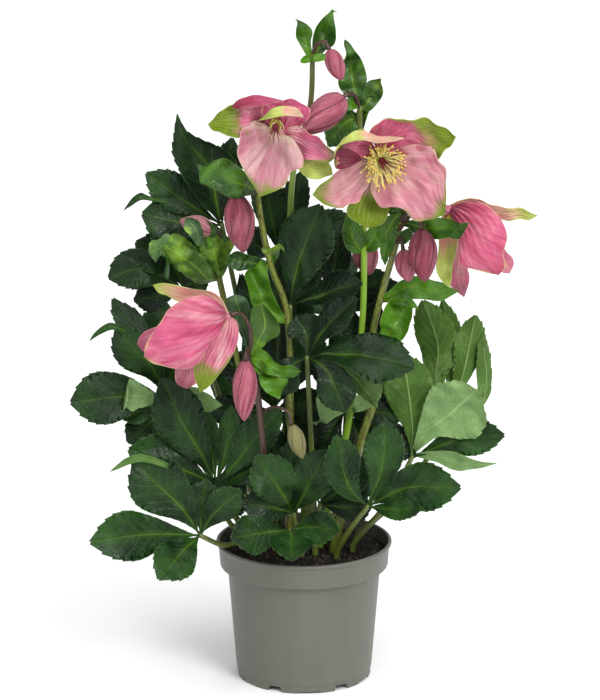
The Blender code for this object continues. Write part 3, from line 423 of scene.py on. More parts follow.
STEMS: dict[str, StemPlan] = {
    "stem_top": stem((2, 16), ((-6, 18, 200), (-10, 16, 320), (-8, 8, 382), (4, 0, 430), (6, -6, 470)),
        Branch(((6, -6, 470), (9, -8, 477), (15, -10, 479)), 1.3),
        Shell(((-1, -9, 473), (-5.5, -11, 480), (-6, -12, 487), (-5, -12, 493)),
            ((5, -10, 478), (6, -12, 486), (3, -12, 491), (-1, -12, 494)), (-6.5, -12, 495.5),
            base=(5, -6, 466), tone=0.35),
        Shell(((6, -7, 482), (9, -7, 491), (14, -7, 497), (19, -6, 501), (21, -4, 503.5)),
            ((15, -6, 472), (22, -6, 478), (22.7, -6, 487), (21, -6, 497), (22, -5, 502)), (24.3, -4, 502),
            base=(7, -6, 466), tone=0.0),
        Shell(((1, -10, 469), (-1, -13, 467)), ((3, -11, 463.5), (0, -14, 463.5)), (-2, -15, 465),
            base=(6, -7, 467), tone=0.7),
        Shell(((9, -12, 470), (14, -15, 470), (16, -15, 468)),
            ((8, -12, 464), (12, -15, 464.5), (15, -15, 466)), (16.5, -15, 467), base=(6, -7, 466),
            tone=0.6),
        foot=2.9, neck=1.9, skin=Skin.FADED),
    "stem_right_centre": stem((12, 6),
        ((30, 4, 180), (42, 2, 265), (43, 2, 345), (40, 0, 400), (40, -4, 432)),
        Branch(((40, -4, 430), (36, -8, 440), (31, -14, 440)), 1.4),
        Branch(((41, -1, 405), (46, -8, 410), (53, -18, 402)), 1.6),
        Branch(((43, 2, 332), (41, 12, 341)), 1.4),
        Shell(((29, -2, 440), (24.5, -1, 448), (26, 0, 459), (30, 1, 470), (28.5, 1, 476)),
            ((44, -3, 444), (45, -1, 453), (42, 1, 464), (37, 1, 472), (33, 1, 477)), (29, 1, 480),
            base=(40, -4, 433), tone=0.0),
        Shell(((42, -4, 441), (45, -5, 449), (51, -6, 450.5), (54, -6, 452)),
            ((47, -4, 428), (54, -5, 435), (57, -6, 442), (55.5, -6, 448)), (55.3, -6, 452),
            base=(41, -4, 430), tone=0.1, turn=0.5),
        Shell(((30, -7, 437), (28, -9, 433)), ((38, -8, 430), (34, -10, 428)), (29, -10, 429),
            base=(39, -5, 436), tone=1.0),
        blade(26, FRONT, (40, 0, 424), (29, 2, 418), (18, 4, 402)),
        Shell(((37, 0, 425), (36, 2, 414)), ((52, -3, 439), (47, -2, 428), (43, 1, 415)), (41, 2, 404),
            base=(42, -3, 438), tone=0.1, turn=0.6),
        blade(16, FRONT, (43, 2, 322), (34, -4, 336), (33.5, -4, 358)),
        blade(15, FRONT, (43, 2, 324), (52, -2, 334), (58, -2, 350)),
        skin=Skin.BRIGHT),
    "stem_right": stem((22, -8),
        ((42, -10, 180), (53, -10, 218), (50, -8, 257), (56, -8, 290), (66, -10, 326), (70, -12, 346)),
        Branch(((70, -12, 346), (82, -14, 362), (94, -14, 364)), 1.5),
        Branch(((69, -12, 340), (78, -24, 351), (84, -34, 347)), 1.4),
        Branch(((67, -10, 328), (69, -16, 334), (71, -20, 331)), 1.2),
        Shell(((80, -26, 347.5), (92, -36, 349), (104, -44, 348), (112, -50, 345)),
            ((78, -26, 340), (84, -32, 334), (94, -38, 332.5), (106, -48, 334), (114, -52, 333.5)),
            (119, -54, 345), base=(71, -14, 345), cup=0.4, tone=0.3),
        blade(15, OPEN, (70, -10, 352), (63, -8, 340), (59, -6, 314)),
        blade(9, FRONT, (69, -12, 330), (74, -14, 335), (79, -15, 342)),
        Shell(((62, -8, 351), (60, -8, 356)), ((72, -8, 350), (76, -8, 355)), (68, -8, 361),
            base=(69, -10, 344), tone=0.3),
        Shell(((55, -14, 263), (57, -16, 274), (60, -16, 284), (66, -17, 289)),
            ((62, -16, 251.5), (71, -20, 256), (76, -22, 264), (79, -23, 272), (79.5, -23, 279)),
            (80, -23, 284), base=(49, -9, 253), faces=(0.5, -0.7, 0.5), cup=0.7, tone=0.95),
        Shell(((64, -12, 296), (71, -15, 303), (80, -17, 305), (92, -18, 303), (103, -19, 299)),
            ((68, -12, 288), (80, -15, 288), (90, -17, 286.5), (100, -18, 287), (108, -19, 291)),
            (113, -20, 294), base=(57, -8, 288), tone=0.4),
        Shell(((70, -18, 291), (76, -20, 290), (80, -21, 286)),
            ((68, -18, 284), (74, -20, 283), (79, -21, 281)), (84, -21, 279.5), base=(59, -9, 287),
            tone=0.3),
        foot=3.4),
    "stem_centre": stem((-12, -4),
        ((-10, -8, 180), (-12, -14, 272), (-24, -16, 312), (-31, -14, 345), (-34, -12, 368)),
        Branch(((-34, -12, 368), (-32, -8, 390), (-26, -12, 412)), 1.6),
        Branch(((-34, -12, 366), (-40, -18, 374), (-46, -24, 373)), 1.4),
        Shell(((-22, -20, 271), (-32, -25, 275.5), (-38, -28, 285), (-41, -29, 297), (-43, -29, 306),
            (-38, -29, 311)), ((-18, -20, 281), (-23, -24, 292), (-26, -26, 303), (-27, -28, 312)),
            (-31, -29, 316), base=(-12, -14, 270), faces=(-0.4, -0.8, 0.4), cup=0.75, tone=0.85),
        Shell(((-30, -18, 318), (-40, -20, 321), (-48, -22, 324), (-54, -23, 321)),
            ((-30, -20, 309), (-40, -22, 310), (-48, -23, 309), (-54, -24, 313)), (-56, -24, 318),
            base=(-24, -16, 312), tone=0.0),
        Shell(((-42, -22, 381), (-50, -27, 389), (-58, -28, 393), (-66, -27, 391), (-72, -25, 387)),
            ((-42, -27, 365), (-51, -32, 363), (-60, -31, 367), (-68, -28, 372), (-74, -25, 376)),
            (-78, -24, 388.5), base=(-34, -12, 368), cup=-0.15, tone=0.12),
        Shell(((-19, -18, 320), (-17, -20, 326), (-14, -21, 324)),
            ((-27, -18, 320), (-31, -20, 326), (-24, -21, 328)), (-18, -22, 330), base=(-25, -16, 312),
            tone=0.1, turn=0.3)),
    "stem_left": stem((-20, 10), ((-38, 10, 190), (-58, 8, 285), (-62, 6, 305), (-64, 2, 326)),
        Branch(((-64, 2, 322), (-61, -8, 334)), 1.3),
        Shell(((-70, 2, 300), (-77, -4, 298.5), (-84, -8, 304), (-92, -10, 311), (-99, -11, 317)),
            ((-66, -4, 312), (-73, -10, 321), (-82, -12, 330), (-90, -12, 336), (-97, -12, 336)),
            (-103, -12, 328), base=(-62, 6, 303), faces=(0.1, 0.5, 0.8), cup=0.5, tone=0.95, teeth=7),
        Shell(((-70, -2, 311), (-75, -8, 321), (-76, -11, 330), (-71, -12, 338)),
            ((-57, 2, 309), (-54.5, -2, 316), (-56, -6, 325), (-60, -9, 334)), (-66, -11, 342),
            base=(-62, 6, 303), faces=(0.0, 0.8, 0.5), cup=0.55, tone=0.8, teeth=6),
        Shell(((-92, -12, 331), (-99, -14, 337), (-107, -15, 332), (-112, -14, 331)),
            ((-92, -12, 322), (-98, -14, 318), (-104, -16, 321), (-108, -16, 316)), (-113, -15, 323),
            base=(-84, -10, 322), tone=0.6, turn=0.3, teeth=5),
        Shell(((-100, -15, 315), (-102, -16, 307)), ((-97, -14, 315), (-98, -15, 307)), (-99.5, -15, 302),
            base=(-98, -13, 322), tone=0.5, turn=0.2),
        Shell(((-72, 8, 326), (-80, 12, 338), (-82, 12, 346)),
            ((-60, 8, 326), (-56, 10, 332), (-58, 10, 338)), (-70, 10, 348), base=(-64, 5, 312), tone=0.3,
            turn=0.6),
        Shell(((-82, -24, 335), (-87, -25, 341)), ((-73, -24, 336), (-75, -25, 344), (-80, -25, 348)),
            (-86, -25, 349), base=(-76, -21, 327), cup=0.4, tone=0.45, turn=0.0, teeth=4),
        Shell(((-71, -20, 335), (-76, -21, 343)), ((-64, -16, 336), (-66, -17, 343)), (-71, -19, 347),
            base=(-68, -16, 326), cup=0.4, tone=0.6, turn=0.2, teeth=3),
        Shell(((-57, 4, 330), (-55, 2, 336)), ((-54, 4, 322), (-51, 2, 328)), (-51, 2, 332),
            base=(-62, 5, 318), tone=0.6, turn=0.4)),
    "stem_front_left": stem((-22, -14), ((-28, -28, 150), (-34, -36, 215), (-40, -38, 243)),
        Branch(((-40, -38, 240), (-39, -40, 262), (-44, -40, 275)), 1.5),
        Branch(((-39, -38, 236), (-41, -46, 250), (-42, -52, 248)), 1.3),
        Branch(((-34, -30, 200), (-22, -42, 206), (-12, -47, 202)), 1.0),
        Shell(((-32, -43, 250), (-25, -46, 244), (-17, -50, 237.5), (-9, -53, 238)),
            ((-33, -44, 234), (-24, -48, 230), (-15, -51, 228), (-7, -54, 229)), (-2.5, -54, 233),
            base=(-40, -39, 243), cup=0.4, tone=0.8),
        Shell(((-33, -44, 228), (-29, -47, 219), (-25, -49, 215.5)),
            ((-24, -46, 236), (-17, -49, 232), (-12, -51, 226), (-16, -52, 218)), (-17, -52, 212.5),
            base=(-39, -38, 240), cup=0.35, tone=0.9),
        Shell(((-46, -34, 262), (-54, -30, 274), (-57, -28, 287)),
            ((-38, -34, 264), (-38, -30, 276), (-42, -28, 288)), (-50, -27, 291.5), base=(-40, -38, 246),
            tone=0.2, turn=0.0),
        Shell(((-40, -40, 258), (-39.5, -40, 270), (-38, -40, 281)),
            ((-26, -40, 256), (-18, -40, 262), (-20, -40, 272)), (-30, -40, 284), base=(-37, -40, 245),
            tone=0.9, turn=0.1),
        skin=Skin.PURPLE),
}

BLOOMS: dict[str, BloomPlan] = {
    "bloom_left": bloom((-18, -28, 412), (-26, -80, 398),
        Shell(((-34, -38, 421), (-45, -46, 415), (-47, -49, 406), (-48.5, -51, 397), (-44, -52, 385)),
            ((-8, -37, 408), (-2, -43, 399), (0.5, -46, 391), (-2, -48, 386), (-9, -51, 383),
            (-15, -54, 372)), (-32, -56, 364.5), tone=0.18, turn=0.8),
        Shell(((-24, -38, 430), (-35, -44, 438), (-48, -47, 434), (-60, -50, 428)),
            ((-36, -38, 413), (-50, -46, 408.5), (-60, -50, 411.5), (-66, -51, 414)), (-69, -50, 418.5),
            tone=0.75, turn=0.5),
        Shell(((-28, -36, 421), (-31, -42, 429), (-24, -41, 435.5)),
            ((-8, -34, 410), (-1, -38, 416), (4, -41, 425), (3, -40, 431)), (-9, -38, 437), tone=1.0,
            cup=0.35),
        Shell(((-6, -36, 417), (4, -42, 411), (11, -46, 409), (17, -48, 402)),
            ((-8, -36, 400), (0, -42, 393), (10, -46, 391.5), (18, -48, 390)), (24, -50, 396), tone=0.62,
            turn=0.8),
        Shell(((-2, -34, 398), (8, -37, 396), (16, -38, 392), (19.5, -38, 387)),
            ((-10, -34, 392), (-4, -37, 384), (1, -38, 379.5), (8, -40, 377.5), (15, -40, 379)),
            (20.5, -40, 381), tone=0.4, turn=0.3, cream=True),
        # the fold of the top sepal; its tone 1.25 darkens it partly with painted shade
        Shell(((-48, -51, 436), (-42, -52, 438.5), (-34, -52, 440), (-24, -51, 438)),
            ((-44, -55, 429), (-34, -56, 431), (-24, -54, 433)), (-13.5, -51, 435.5), base=(-52, -50, 431),
            faces=(0.0, -0.5, 0.8), cup=-0.5, tone=1.25),
        Shell(((-6, -49, 431), (-14, -51, 432), (-22, -51, 430)),
            ((-6, -52, 424), (-14, -54, 424.5), (-22, -54, 423)), (-33, -46, 421), base=(-0.5, -49, 424),
            faces=(0.0, -0.7, 0.7), cup=-0.5, tone=0.45, turn=0.4, cream=True),
        stamens=14, spread=30, droop=(0.5, 0.0, -6.5), raised=(-1.0, 0.0, 8.0), shed=True),
    "bloom_centre": bloom((54, -28, 391), (62, -80, 386),
        Shell(((68, -36, 400), (80, -43, 404), (92, -48, 402), (97, -50, 391.5), (102, -53, 386),
            (102.5, -56, 375), (103, -58, 364)), ((48, -38, 374), (50, -43, 365), (56, -48, 356.5),
            (64, -51, 357), (72, -54, 355), (80, -58, 346.5), (91, -60, 347.5)), (102, -60, 351), tone=0.3,
            turn=0.82),
        Shell(((42, -36, 398), (29, -44, 389), (21, -48, 381), (12, -51, 373.5)),
            ((46, -37, 372), (40, -43, 361), (33, -47, 359), (26, -50, 356), (15, -52, 358.5)),
            (6, -53, 366), tone=0.31, turn=0.74),
        Shell(((40, -42, 394), (31, -50, 388), (22.5, -56, 385.5), (22, -58, 394)),
            ((50, -38, 404), (47, -45, 411), (40, -51, 415), (32, -55, 409.5)), (25, -59, 402), tone=0.85,
            turn=0.66),
        # the inner face of a crumpled fold, darkened to maroon by painted shade through its tone 1.5
        Shell(((35, -51, 388), (29, -56, 385), (23.5, -59, 385.5)),
            ((38, -50, 397), (31, -56, 400), (25, -60, 398)), (22.5, -60, 391), base=(42, -44, 392),
            cup=0.5, tone=1.5),
        Shell(((62, -47, 409.5), (52, -50, 410), (41, -54, 414), (33, -58, 411.5)),
            ((62, -48, 405), (52, -52, 404.5), (42, -56, 406.5), (33, -60, 405)), (26, -59, 403),
            base=(72, -45, 408), faces=(0.0, -0.7, 0.7), cup=-0.6, tone=0.55, turn=0.6, cream=True),
        Shell(((50, -40, 407), (47, -45, 413.5), (54, -49, 419.5), (62, -51, 423), (71, -52, 423),
            (77, -52, 420.5), (86, -53, 422), (95, -54, 418), (103, -54, 415.5)), ((66, -36, 394),
            (82, -41, 398), (93, -45, 393), (97, -47, 391.5), (101, -51, 398), (106, -54, 402)),
            (109.5, -55, 409), tone=0.98, turn=0.55),
        Shell(((44, -32, 376), (36, -35, 364), (31, -37, 356), (33, -39, 349)),
            ((58, -32, 372), (62, -35, 360), (61, -38, 352), (57, -40, 344.5)), (46, -41, 341), tone=0.3,
            turn=0.3),
        stamens=140, spread=66, droop=(4.5, 0.0, -5.5), raised=(0.0, 0.0, 1.5)),
    "bloom_right": bloom((102, -16, 357), (134, -30, 320),
        Shell(((112, -19, 361.5), (120, -21, 363.2), (128, -22, 362), (137, -21, 358.5), (150, -19, 356),
            (158, -18, 356)), ((112, -14, 352), (125, -14, 350), (140, -16, 348), (148, -18, 346.5),
            (156, -18, 348), (163, -18, 347)), (169, -18, 350.6), tone=0.6, turn=0.72, cream=True),
        Shell(((107, -27, 349), (111, -38, 337), (112, -46, 325), (113, -48, 314), (122, -50, 310.5),
            (132, -51, 307.5)), ((114, -26, 360), (126, -38, 361), (136, -45, 356), (144, -49, 346),
            (147.5, -51, 335), (145, -52, 322), (146.5, -52, 312)), (141.5, -52, 306), tone=0.78,
            turn=0.97),
        Shell(((122, -6, 340), (138, 0, 322), (143, 4, 309)),
            ((138, -8, 340), (146, 0, 325), (151.5, 4, 319), (152.5, 6, 313)), (149, 6, 307.5), tone=0.7),
        Shell(((98, -20, 340), (97.5, -25, 324), (96, -27, 311), (99.5, -27, 302)),
            ((111.5, -20, 340), (110.5, -26, 325), (108, -27, 312), (107.5, -27, 303)), (106, -27, 296.5),
            tone=0.6, turn=0.4, cream=True),
        Shell(((107, -4, 334), (107, 1, 314), (105.5, 4, 300), (110, 4, 294)),
            ((122, -4, 336), (119, 1, 314), (120.5, 4, 304), (119, 4, 296)), (116.5, 4, 289.5), tone=0.45),
        stamens=24, spread=18),
    "bloom_low_left": bloom((-54, -46, 275), (-104, -66, 250),
        Shell(((-60, -47, 287), (-68, -47, 293), (-78, -47, 295), (-92, -48, 298), (-103, -48, 300)),
            ((-66, -45, 278), (-80, -46, 283), (-93, -48, 286), (-100, -48, 290.5), (-106, -48, 292.5)),
            (-110, -48, 298.5), tone=0.6, turn=0.72, cream=True),
        Shell(((-60, -58, 283), (-69, -69, 289.5), (-78, -75, 290.5), (-88, -78, 287.5), (-98, -79, 281),
            (-104, -80, 272), (-110, -80, 263.5), (-116, -80, 252)), ((-60, -62, 268), (-66, -72, 257),
            (-73, -76, 246), (-79, -78, 238), (-87, -79, 234.5), (-98, -80, 235.5), (-110, -80, 239)),
            (-117, -80, 244), tone=0.62, turn=0.96),
        Shell(((-88, -42, 268), (-106, -38, 267), (-116, -36, 263.5), (-120.5, -36, 259)),
            ((-88, -42, 252), (-105, -38, 250), (-117, -36, 248)), (-122, -36, 254), tone=0.55),
        Shell(((-66, -56, 268), (-74, -64, 255), (-80, -70, 243), (-80.5, -72, 230)),
            ((-48.5, -53, 270), (-48, -60, 258), (-52.5, -67, 245), (-61, -71, 232), (-69, -73, 222)),
            (-76.5, -73, 217), tone=0.65, turn=0.62),
        Shell(((-72, -44, 256), (-76, -43, 238), (-77.5, -42, 225)),
            ((-90, -44, 254), (-94, -43, 238), (-94, -42, 225)), (-86, -42, 219.5), tone=0.4),
        stamens=24, spread=18),
}

BUDS: dict[str, BudPlan] = {
    "bud_top": BudPlan((18, -11, 473), (27, -18, 451), 6.8, 0.6, power=0.6),
    "bud_upper": BudPlan((28, -18, 438), (0, -34, 413), 11.4, 0.5, power=0.55),
    "bud_centre_left": BudPlan((-49, -25, 366), (-44, -26, 323), 11.2, 0.78),
    "bud_right": BudPlan((85, -36, 340), (88, -38, 301), 10.6, 1.0),
    "bud_hidden": BudPlan((72, -20, 325), (76.5, -22, 301), 8.0, 0.6),
    "bud_behind": BudPlan((42, 17, 333), (48, 19, 306), 9.6, 0.4),
    "bud_left": BudPlan((-66, -12, 339), (-90, -16, 347), 7.6, 0.2, 0.1),
    "bud_low": BudPlan((-43, -58, 241), (-44, -62, 195), 9.0, 0.55),
    "bud_small": BudPlan((-9, -49, 192), (-1, -52, 166), 6.2, 0.1, 0.9),
}


def unit(vectors: Array) -> Array:
    """Vectors scaled to length 1."""
    return vectors / np.linalg.norm(vectors, axis=-1, keepdims=True)


def chords(points: Array) -> Array:
    """The distance from each point to the next."""
    return np.linalg.norm(np.diff(points, axis=0), axis=1)


def circle(count: int) -> Array:
    """This many angles, spread evenly over one turn."""
    return TURN * np.arange(count) / count


def shares(count: int) -> Array:
    """This many even steps from 0 to 1."""
    return np.linspace(0.0, 1.0, count)


def outward(turn: float) -> Array:
    """The level direction at this angle from the front."""
    return np.array([math.sin(turn), -math.cos(turn), 0.0])


def turned(radius: Array, angle: Array, height: Array) -> Array:
    """Points about +Z at these radii, angles from the front, and heights."""
    level = np.broadcast_to(height, radius.shape)
    return np.stack([radius * np.sin(angle), -radius * np.cos(angle), level], axis=-1)


def paired(u: Array, v: Array) -> Array:
    """The texture coordinates (u, v) of each point of a grid."""
    return np.stack(np.broadcast_arrays(u, v), axis=-1)


def linked(name: str, data: bpy.types.ID) -> Object:
    """A new object in the scene.

    Args:
        name: its name.
        data: its mesh, light or camera.

    Returns:
        The object.
    """
    obj = bpy.data.objects.new(name, data)
    bpy.context.scene.collection.objects.link(obj)
    return obj


def smooth(low: float, high: float, values: Array) -> Array:
    """A soft step from 0 at low to 1 at high: 3 t squared less 2 t cubed."""
    part = np.clip((values - low) / (high - low), 0.0, 1.0)
    return part * part * (3 - 2 * part)


def placed(points: tuple | Array) -> Array:
    """The true places of table points (x, y, rise).

    Args:
        points: one point or several, in millimetres.

    Returns:
        The true points in millimetres, in the shape that was given. A point at depth y moves
        from where it is seen on the plane y = 0 by y / EYE_DISTANCE of its offset from the eye.
    """
    table = np.asarray(points, float)
    x, y, rise = table[..., 0], table[..., 1], table[..., 2]
    nearer = y / EYE_DISTANCE
    return np.stack([x + (x - EYE_X) * nearer, y, rise - (EYE_HEIGHT - rise) * nearer], axis=-1)


def along(points: Array, steps: Array, before: Array | None = None) -> Array:
    """Places on a smooth curve through the points.

    Args:
        points: the points that the curve passes through.
        steps: shares of the whole length of the chords between the points, from 0 to 1.
        before: a point ahead of the first one, which sets the curve's first direction.

    Returns:
        One place for each step, on a Catmull-Rom spline.
    """
    first = 2 * points[0] - points[1] if before is None else before
    hull = np.vstack([first, points, 2 * points[-1] - points[-2]])
    spans_long = chords(points)
    reached = np.concatenate([[0.0], np.cumsum(spans_long)])
    wanted = reached[-1] * steps
    spans = np.clip(np.searchsorted(reached, wanted, side="right") - 1, 0, len(spans_long) - 1)
    part = ((wanted - reached[spans]) / spans_long[spans])[:, None]
    start, end = hull[spans + 1], hull[spans + 2]
    leave = 0.5 * (end - hull[spans])
    arrive = 0.5 * (hull[spans + 3] - start)
    return (
        start * (2 * part**3 - 3 * part**2 + 1)
        + leave * (part**3 - 2 * part**2 + part)
        + end * (3 * part**2 - 2 * part**3)
        + arrive * (part**3 - part**2)
    )


def facing_frames(spine: Array, faces: Point) -> tuple[Array, Array, Array]:
    """Directions along a spine, carried from its base without twisting.

    Args:
        spine: the points of a midrib.
        faces: the way that the upper side faces at the base.

    Returns:
        Tangents, upward directions and sideways directions, one of each for every point.
    """
    tangent = unit(np.gradient(spine, axis=0))
    upward = np.empty_like(tangent)
    current = np.array(faces, float)
    for row, direction in enumerate(tangent):
        current = unit(current - direction * (current @ direction))
        upward[row] = current
    return tangent, upward, np.cross(tangent, upward)


def waves(places: Array, length: float, count: int, seed: int) -> Array:
    """Smooth random heights at places: the mean of sine waves in random directions.

    Args:
        places: points, in millimetres, with one to three coordinates in the last axis.
        length: the middle wavelength, in millimetres.
        count: how many waves are summed.
        seed: the seed of the random draw.

    Returns:
        A height from about -1 to 1 for each place.
    """
    draw = np.random.default_rng(seed)
    size = places.shape[-1]
    directions = unit(draw.normal(size=(count, size)))
    numbers = directions * (TURN / (length * draw.uniform(0.6, 1.6, (count, 1))))
    phases = draw.uniform(0, TURN, count)
    return np.sin(places @ numbers.T + phases).sum(axis=-1) / math.sqrt(count)


@dataclass
class Patch:
    """Part of a piece: its points in millimetres, faces, texture coordinates and paint.

    fan is the angle of each point about the blade's base, and its place across where none is set.
    """

    points: Array
    corners: Array
    sizes: Array
    uv: Array
    under: Array
    mark: Array
    tone: float
    slot: int
    fan: Array | None = None


def lofted(
    rings: Array,
    uv: Array,
    under: Array | None = None,
    mark: Array | None = None,
    tone: float = 0.5,
    slot: int = 0,
) -> Patch:
    """Rows of closed rings joined by four-sided faces, with both ends capped.

    Args:
        rings: points in an array of rows, points round the ring, and coordinates. The rings
            turn counter-clockwise about the way that the rows run, so the faces point out.
        uv: texture coordinates of the same rows and points.
        under: 1 where a point lies on the lower side of a blade, otherwise 0.
        mark: how far each point takes its second colour, from 0 to 1.
        tone: a value from 0 to 1 that varies the colour of this patch.
        slot: the number of its material in the piece.

    Returns:
        The closed patch.
    """
    rows, count = rings.shape[:2]
    number = np.arange(rows * count).reshape(rows, count)
    after = np.roll(number, -1, axis=1)
    quads = np.stack([number[:-1], after[:-1], after[1:], number[1:]], axis=-1).reshape(-1, 4)
    corners = np.concatenate([quads.ravel(), number[0, ::-1], number[-1]])
    sizes = np.concatenate([np.full(len(quads), 4), [count, count]])
    lower = np.zeros(rows * count) if under is None else under.ravel()
    marked = np.zeros(rows * count) if mark is None else mark.ravel()
    return Patch(rings.reshape(-1, 3), corners, sizes, uv.reshape(-1, 2), lower, marked, tone, slot)


def tube(
    spine: Array,
    radii: Array,
    sides: int,
    slot: int = 0,
    tone: float = 0.5,
    ridges: int = 0,
    ridge_depth: float = 0.0,
) -> Patch:
    """A round stalk: a circle carried along a spine, its radius swelled by a cosine of ridges.

    Args:
        spine: the points of its middle line.
        radii: its radius at each of them.
        sides: how many points each ring has.
        slot: the number of its material.
        tone: its colour variation.
        ridges: how many ridges run along it.
        ridge_depth: their height as a share of the radius.

    Returns:
        The closed patch.
    """
    tangent = unit(np.gradient(spine, axis=0))
    hint = np.array([0.31, 0.9, 0.3] if abs(tangent[:, 1]).max() < 0.9 else [0.9, 0.1, 0.4])
    upward = unit(hint - tangent * (tangent @ hint)[:, None])
    side = np.cross(tangent, upward)
    angle = circle(sides)
    swell = 1 + ridge_depth * np.cos(ridges * angle)
    ring = (np.cos(angle) * swell)[None, :, None] * upward[:, None]
    ring = ring + (np.sin(angle) * swell)[None, :, None] * side[:, None]
    rings = spine[:, None] + ring * np.asarray(radii)[:, None, None]
    length = np.concatenate([[0.0], np.cumsum(chords(spine))])
    round_it = np.abs(np.arange(sides) / sides * 2 - 1)
    return lofted(rings, paired(round_it[None, :], length[:, None] / 10), tone=tone, slot=slot)


def sheet(
    middle: Array,
    across: Array,
    steps: Array,
    thickness: float,
    tone: float = 0.5,
    slot: int = 0,
    turn: float = 2.0,
) -> Patch:
    """A thin blade: its middle surface lifted by half its thickness both ways, thin at the margin.

    Args:
        middle: points in an array of rows along the blade, columns across it, and coordinates.
        across: each column's place from -1 at one margin to 1 at the other.
        steps: each row's place from 0 at the base to 1 at the tip.
        thickness: the thickness at the midrib, in millimetres.
        tone: its colour variation.
        slot: the number of its material.
        turn: the share of the length from which it takes its second colour.

    Returns:
        The closed patch, with rings that run over the upper side and back under the lower one.
    """
    lift = unit(np.cross(np.gradient(middle, axis=1), np.gradient(middle, axis=0)) + 1e-9)
    half = (0.5 * thickness * (1 - 0.96 * across**6))[None, :, None]
    upper = middle + lift * half
    lower = (middle - lift * half)[:, ::-1]
    rings = np.concatenate([upper, lower], axis=1)
    there_and_back = np.concatenate([across, across[::-1]])[None, :]
    uv = paired(there_and_back / 2 + 0.5, steps[:, None])
    under = np.zeros(rings.shape[:2])
    under[:, len(across):] = 1.0
    rim = 0.2 * np.abs(there_and_back) ** 4
    mark = smooth(turn - 0.05, turn + 0.2, steps[:, None] + rim + 0.05 * waves(rings, 14.0, 8, 3))
    return lofted(rings, uv, under, mark, tone, slot)


def toothed(teeth: int, rows: int) -> tuple[Array, Array, Array]:
    """Rows along a blade, with the saw wave of its margin.

    Args:
        teeth: how many teeth each margin has; none gives even rows.
        rows: how many rows a blade without teeth has.

    Returns:
        The rows' places from 0 to 1, how far the margin stands out at each as a share of a
        tooth's depth, and how far it leans forward as a share of a tooth's length.
    """
    if not teeth:
        even = shares(rows)
        return even, np.zeros(rows), np.zeros(rows)
    phases = np.array([0.0, 0.36, 0.7, 0.93])
    steps = np.append((np.arange(teeth)[:, None] + phases).ravel() / teeth, 1.0)
    cut = np.append(np.tile([-0.5, 0.05, 0.38, 0.5], teeth), 0.0) * smooth(0.1, 0.45, steps)
    shift = np.append(np.tile([0.0, 0.02, 0.1, 0.26], teeth), 0.0)
    return steps, cut, shift


def spanned(
    base: Array,
    shape: Shell,
    towards: Array,
    seed: int,
    slot: int = 0,
    ribs: float = 0.0,
    crumple: float = 0.5,
    foot: float = 1.8,
) -> Patch:
    """A free-form blade.

    Each row runs straight from one margin curve to the other. The middle is pushed back by a
    parabola of the cup, and the whole is raised by ribs that fan out from the base, by random
    waves, and by a frill at the margins.

    Args:
        base: the true place of its base.
        shape: its row of the table.
        towards: the way that its inner side faces, in true coordinates.
        seed: the seed of its random waves.
        slot: the number of its material.
        ribs: the height of the ribs, in millimetres.
        crumple: the height of the random waves, in millimetres.
        foot: its half width at the base, in millimetres.

    Returns:
        The closed patch.
    """
    draw = np.random.default_rng(seed)
    steps, cut, shift = toothed(shape.teeth, 45)
    sides = [placed(shape.left), placed(shape.right)]
    tip = placed(shape.tip)
    for _ in range(2):
        first = unit(sides[1][0] - sides[0][0]) * foot
        last = unit(sides[1][-1] - sides[0][-1]) * 0.15
        one = along(np.vstack([base - first, sides[0], tip - last]), steps)
        two = along(np.vstack([base + first, sides[1], tip + last]), steps)
        line = (one + two) / 2
        tangent = unit(np.gradient(line, axis=0))
        normal = unit(np.cross(two - one, tangent))
        if (normal @ towards).sum() > 0:
            break
        sides.reverse()
    half = np.linalg.norm(two - one, axis=1) / 2
    across = np.linspace(-1.0, 1.0, 31)
    out = np.abs(across)[None, :]
    spread = np.sin(across * math.pi / 2 * 0.9) / math.sin(math.pi / 2 * 0.9) * 0.35 + across * 0.65
    middle = line[:, None] + (two - one)[:, None] * (spread / 2)[None, :, None]
    rise = -shape.cup * (half * smooth(0.0, 0.25, steps))[:, None] * (1 - out**2)
    fan = np.cos(TURN * 4.5 * across + 0.8) * (1 - 0.4 * out**2)
    rise = rise + ribs * fan[0][None, :] * (smooth(0.02, 0.2, steps) * (1 - 0.55 * steps))[:, None]
    phase = np.where(across < 0, *draw.uniform(0, TURN, 2))[None, :]
    frill = np.sin(11 * steps[:, None] + phase) + 0.6 * np.sin(23 * steps[:, None] + 2 * phase)
    frill = frill + 0.4 * np.sin(41 * steps[:, None] + 3 * phase)
    rise = rise + 0.045 * half[:, None] * frill * out**3 * smooth(0.15, 0.5, steps)[:, None]
    lumps = waves(middle + 100 * draw.random(3), 15.0, 10, seed)
    rise = rise + crumple * lumps * smooth(0.05, 0.35, steps)[:, None]
    rise = rise - 0.4 * np.exp(-((half[:, None] * across / 0.8) ** 2)) * (1 - steps)[:, None]
    ahead = (cut * np.minimum(1.0, half / 8))[:, None] * out**8 * np.sign(across)
    middle = middle + normal[:, None] * rise[..., None]
    middle = middle + unit(two - one)[:, None] * ahead[..., None]
    middle = middle + tangent[:, None] * (shift[:, None] * out**8 * half.max() / 12)[..., None]
    patch = sheet(middle, across, steps, SHELL_THICKNESS, shape.tone, slot, shape.turn)
    ahead_way = unit(tip - base)
    side_way = unit(np.cross(ahead_way, normal.mean(axis=0)))
    behind = patch.points - base + 6 * ahead_way
    patch.fan = np.arctan2(behind @ side_way, behind @ ahead_way) / 1.5
    return patch


def tilted(points: Array, place: Array, axis: Array) -> Array:
    """Points of a form about +Z, carried to a place and turned.

    Args:
        points: the form's points.
        place: where its origin goes.
        axis: the way that its +Z then points.

    Returns:
        The true points.
    """
    ahead = unit(axis)
    hint = np.array([0.2, 0.95, 0.1])
    upward = unit(hint - ahead * (hint @ ahead))
    side = np.cross(ahead, upward)
    return place + points[..., :1] * side + points[..., 1:2] * upward + points[..., 2:] * ahead


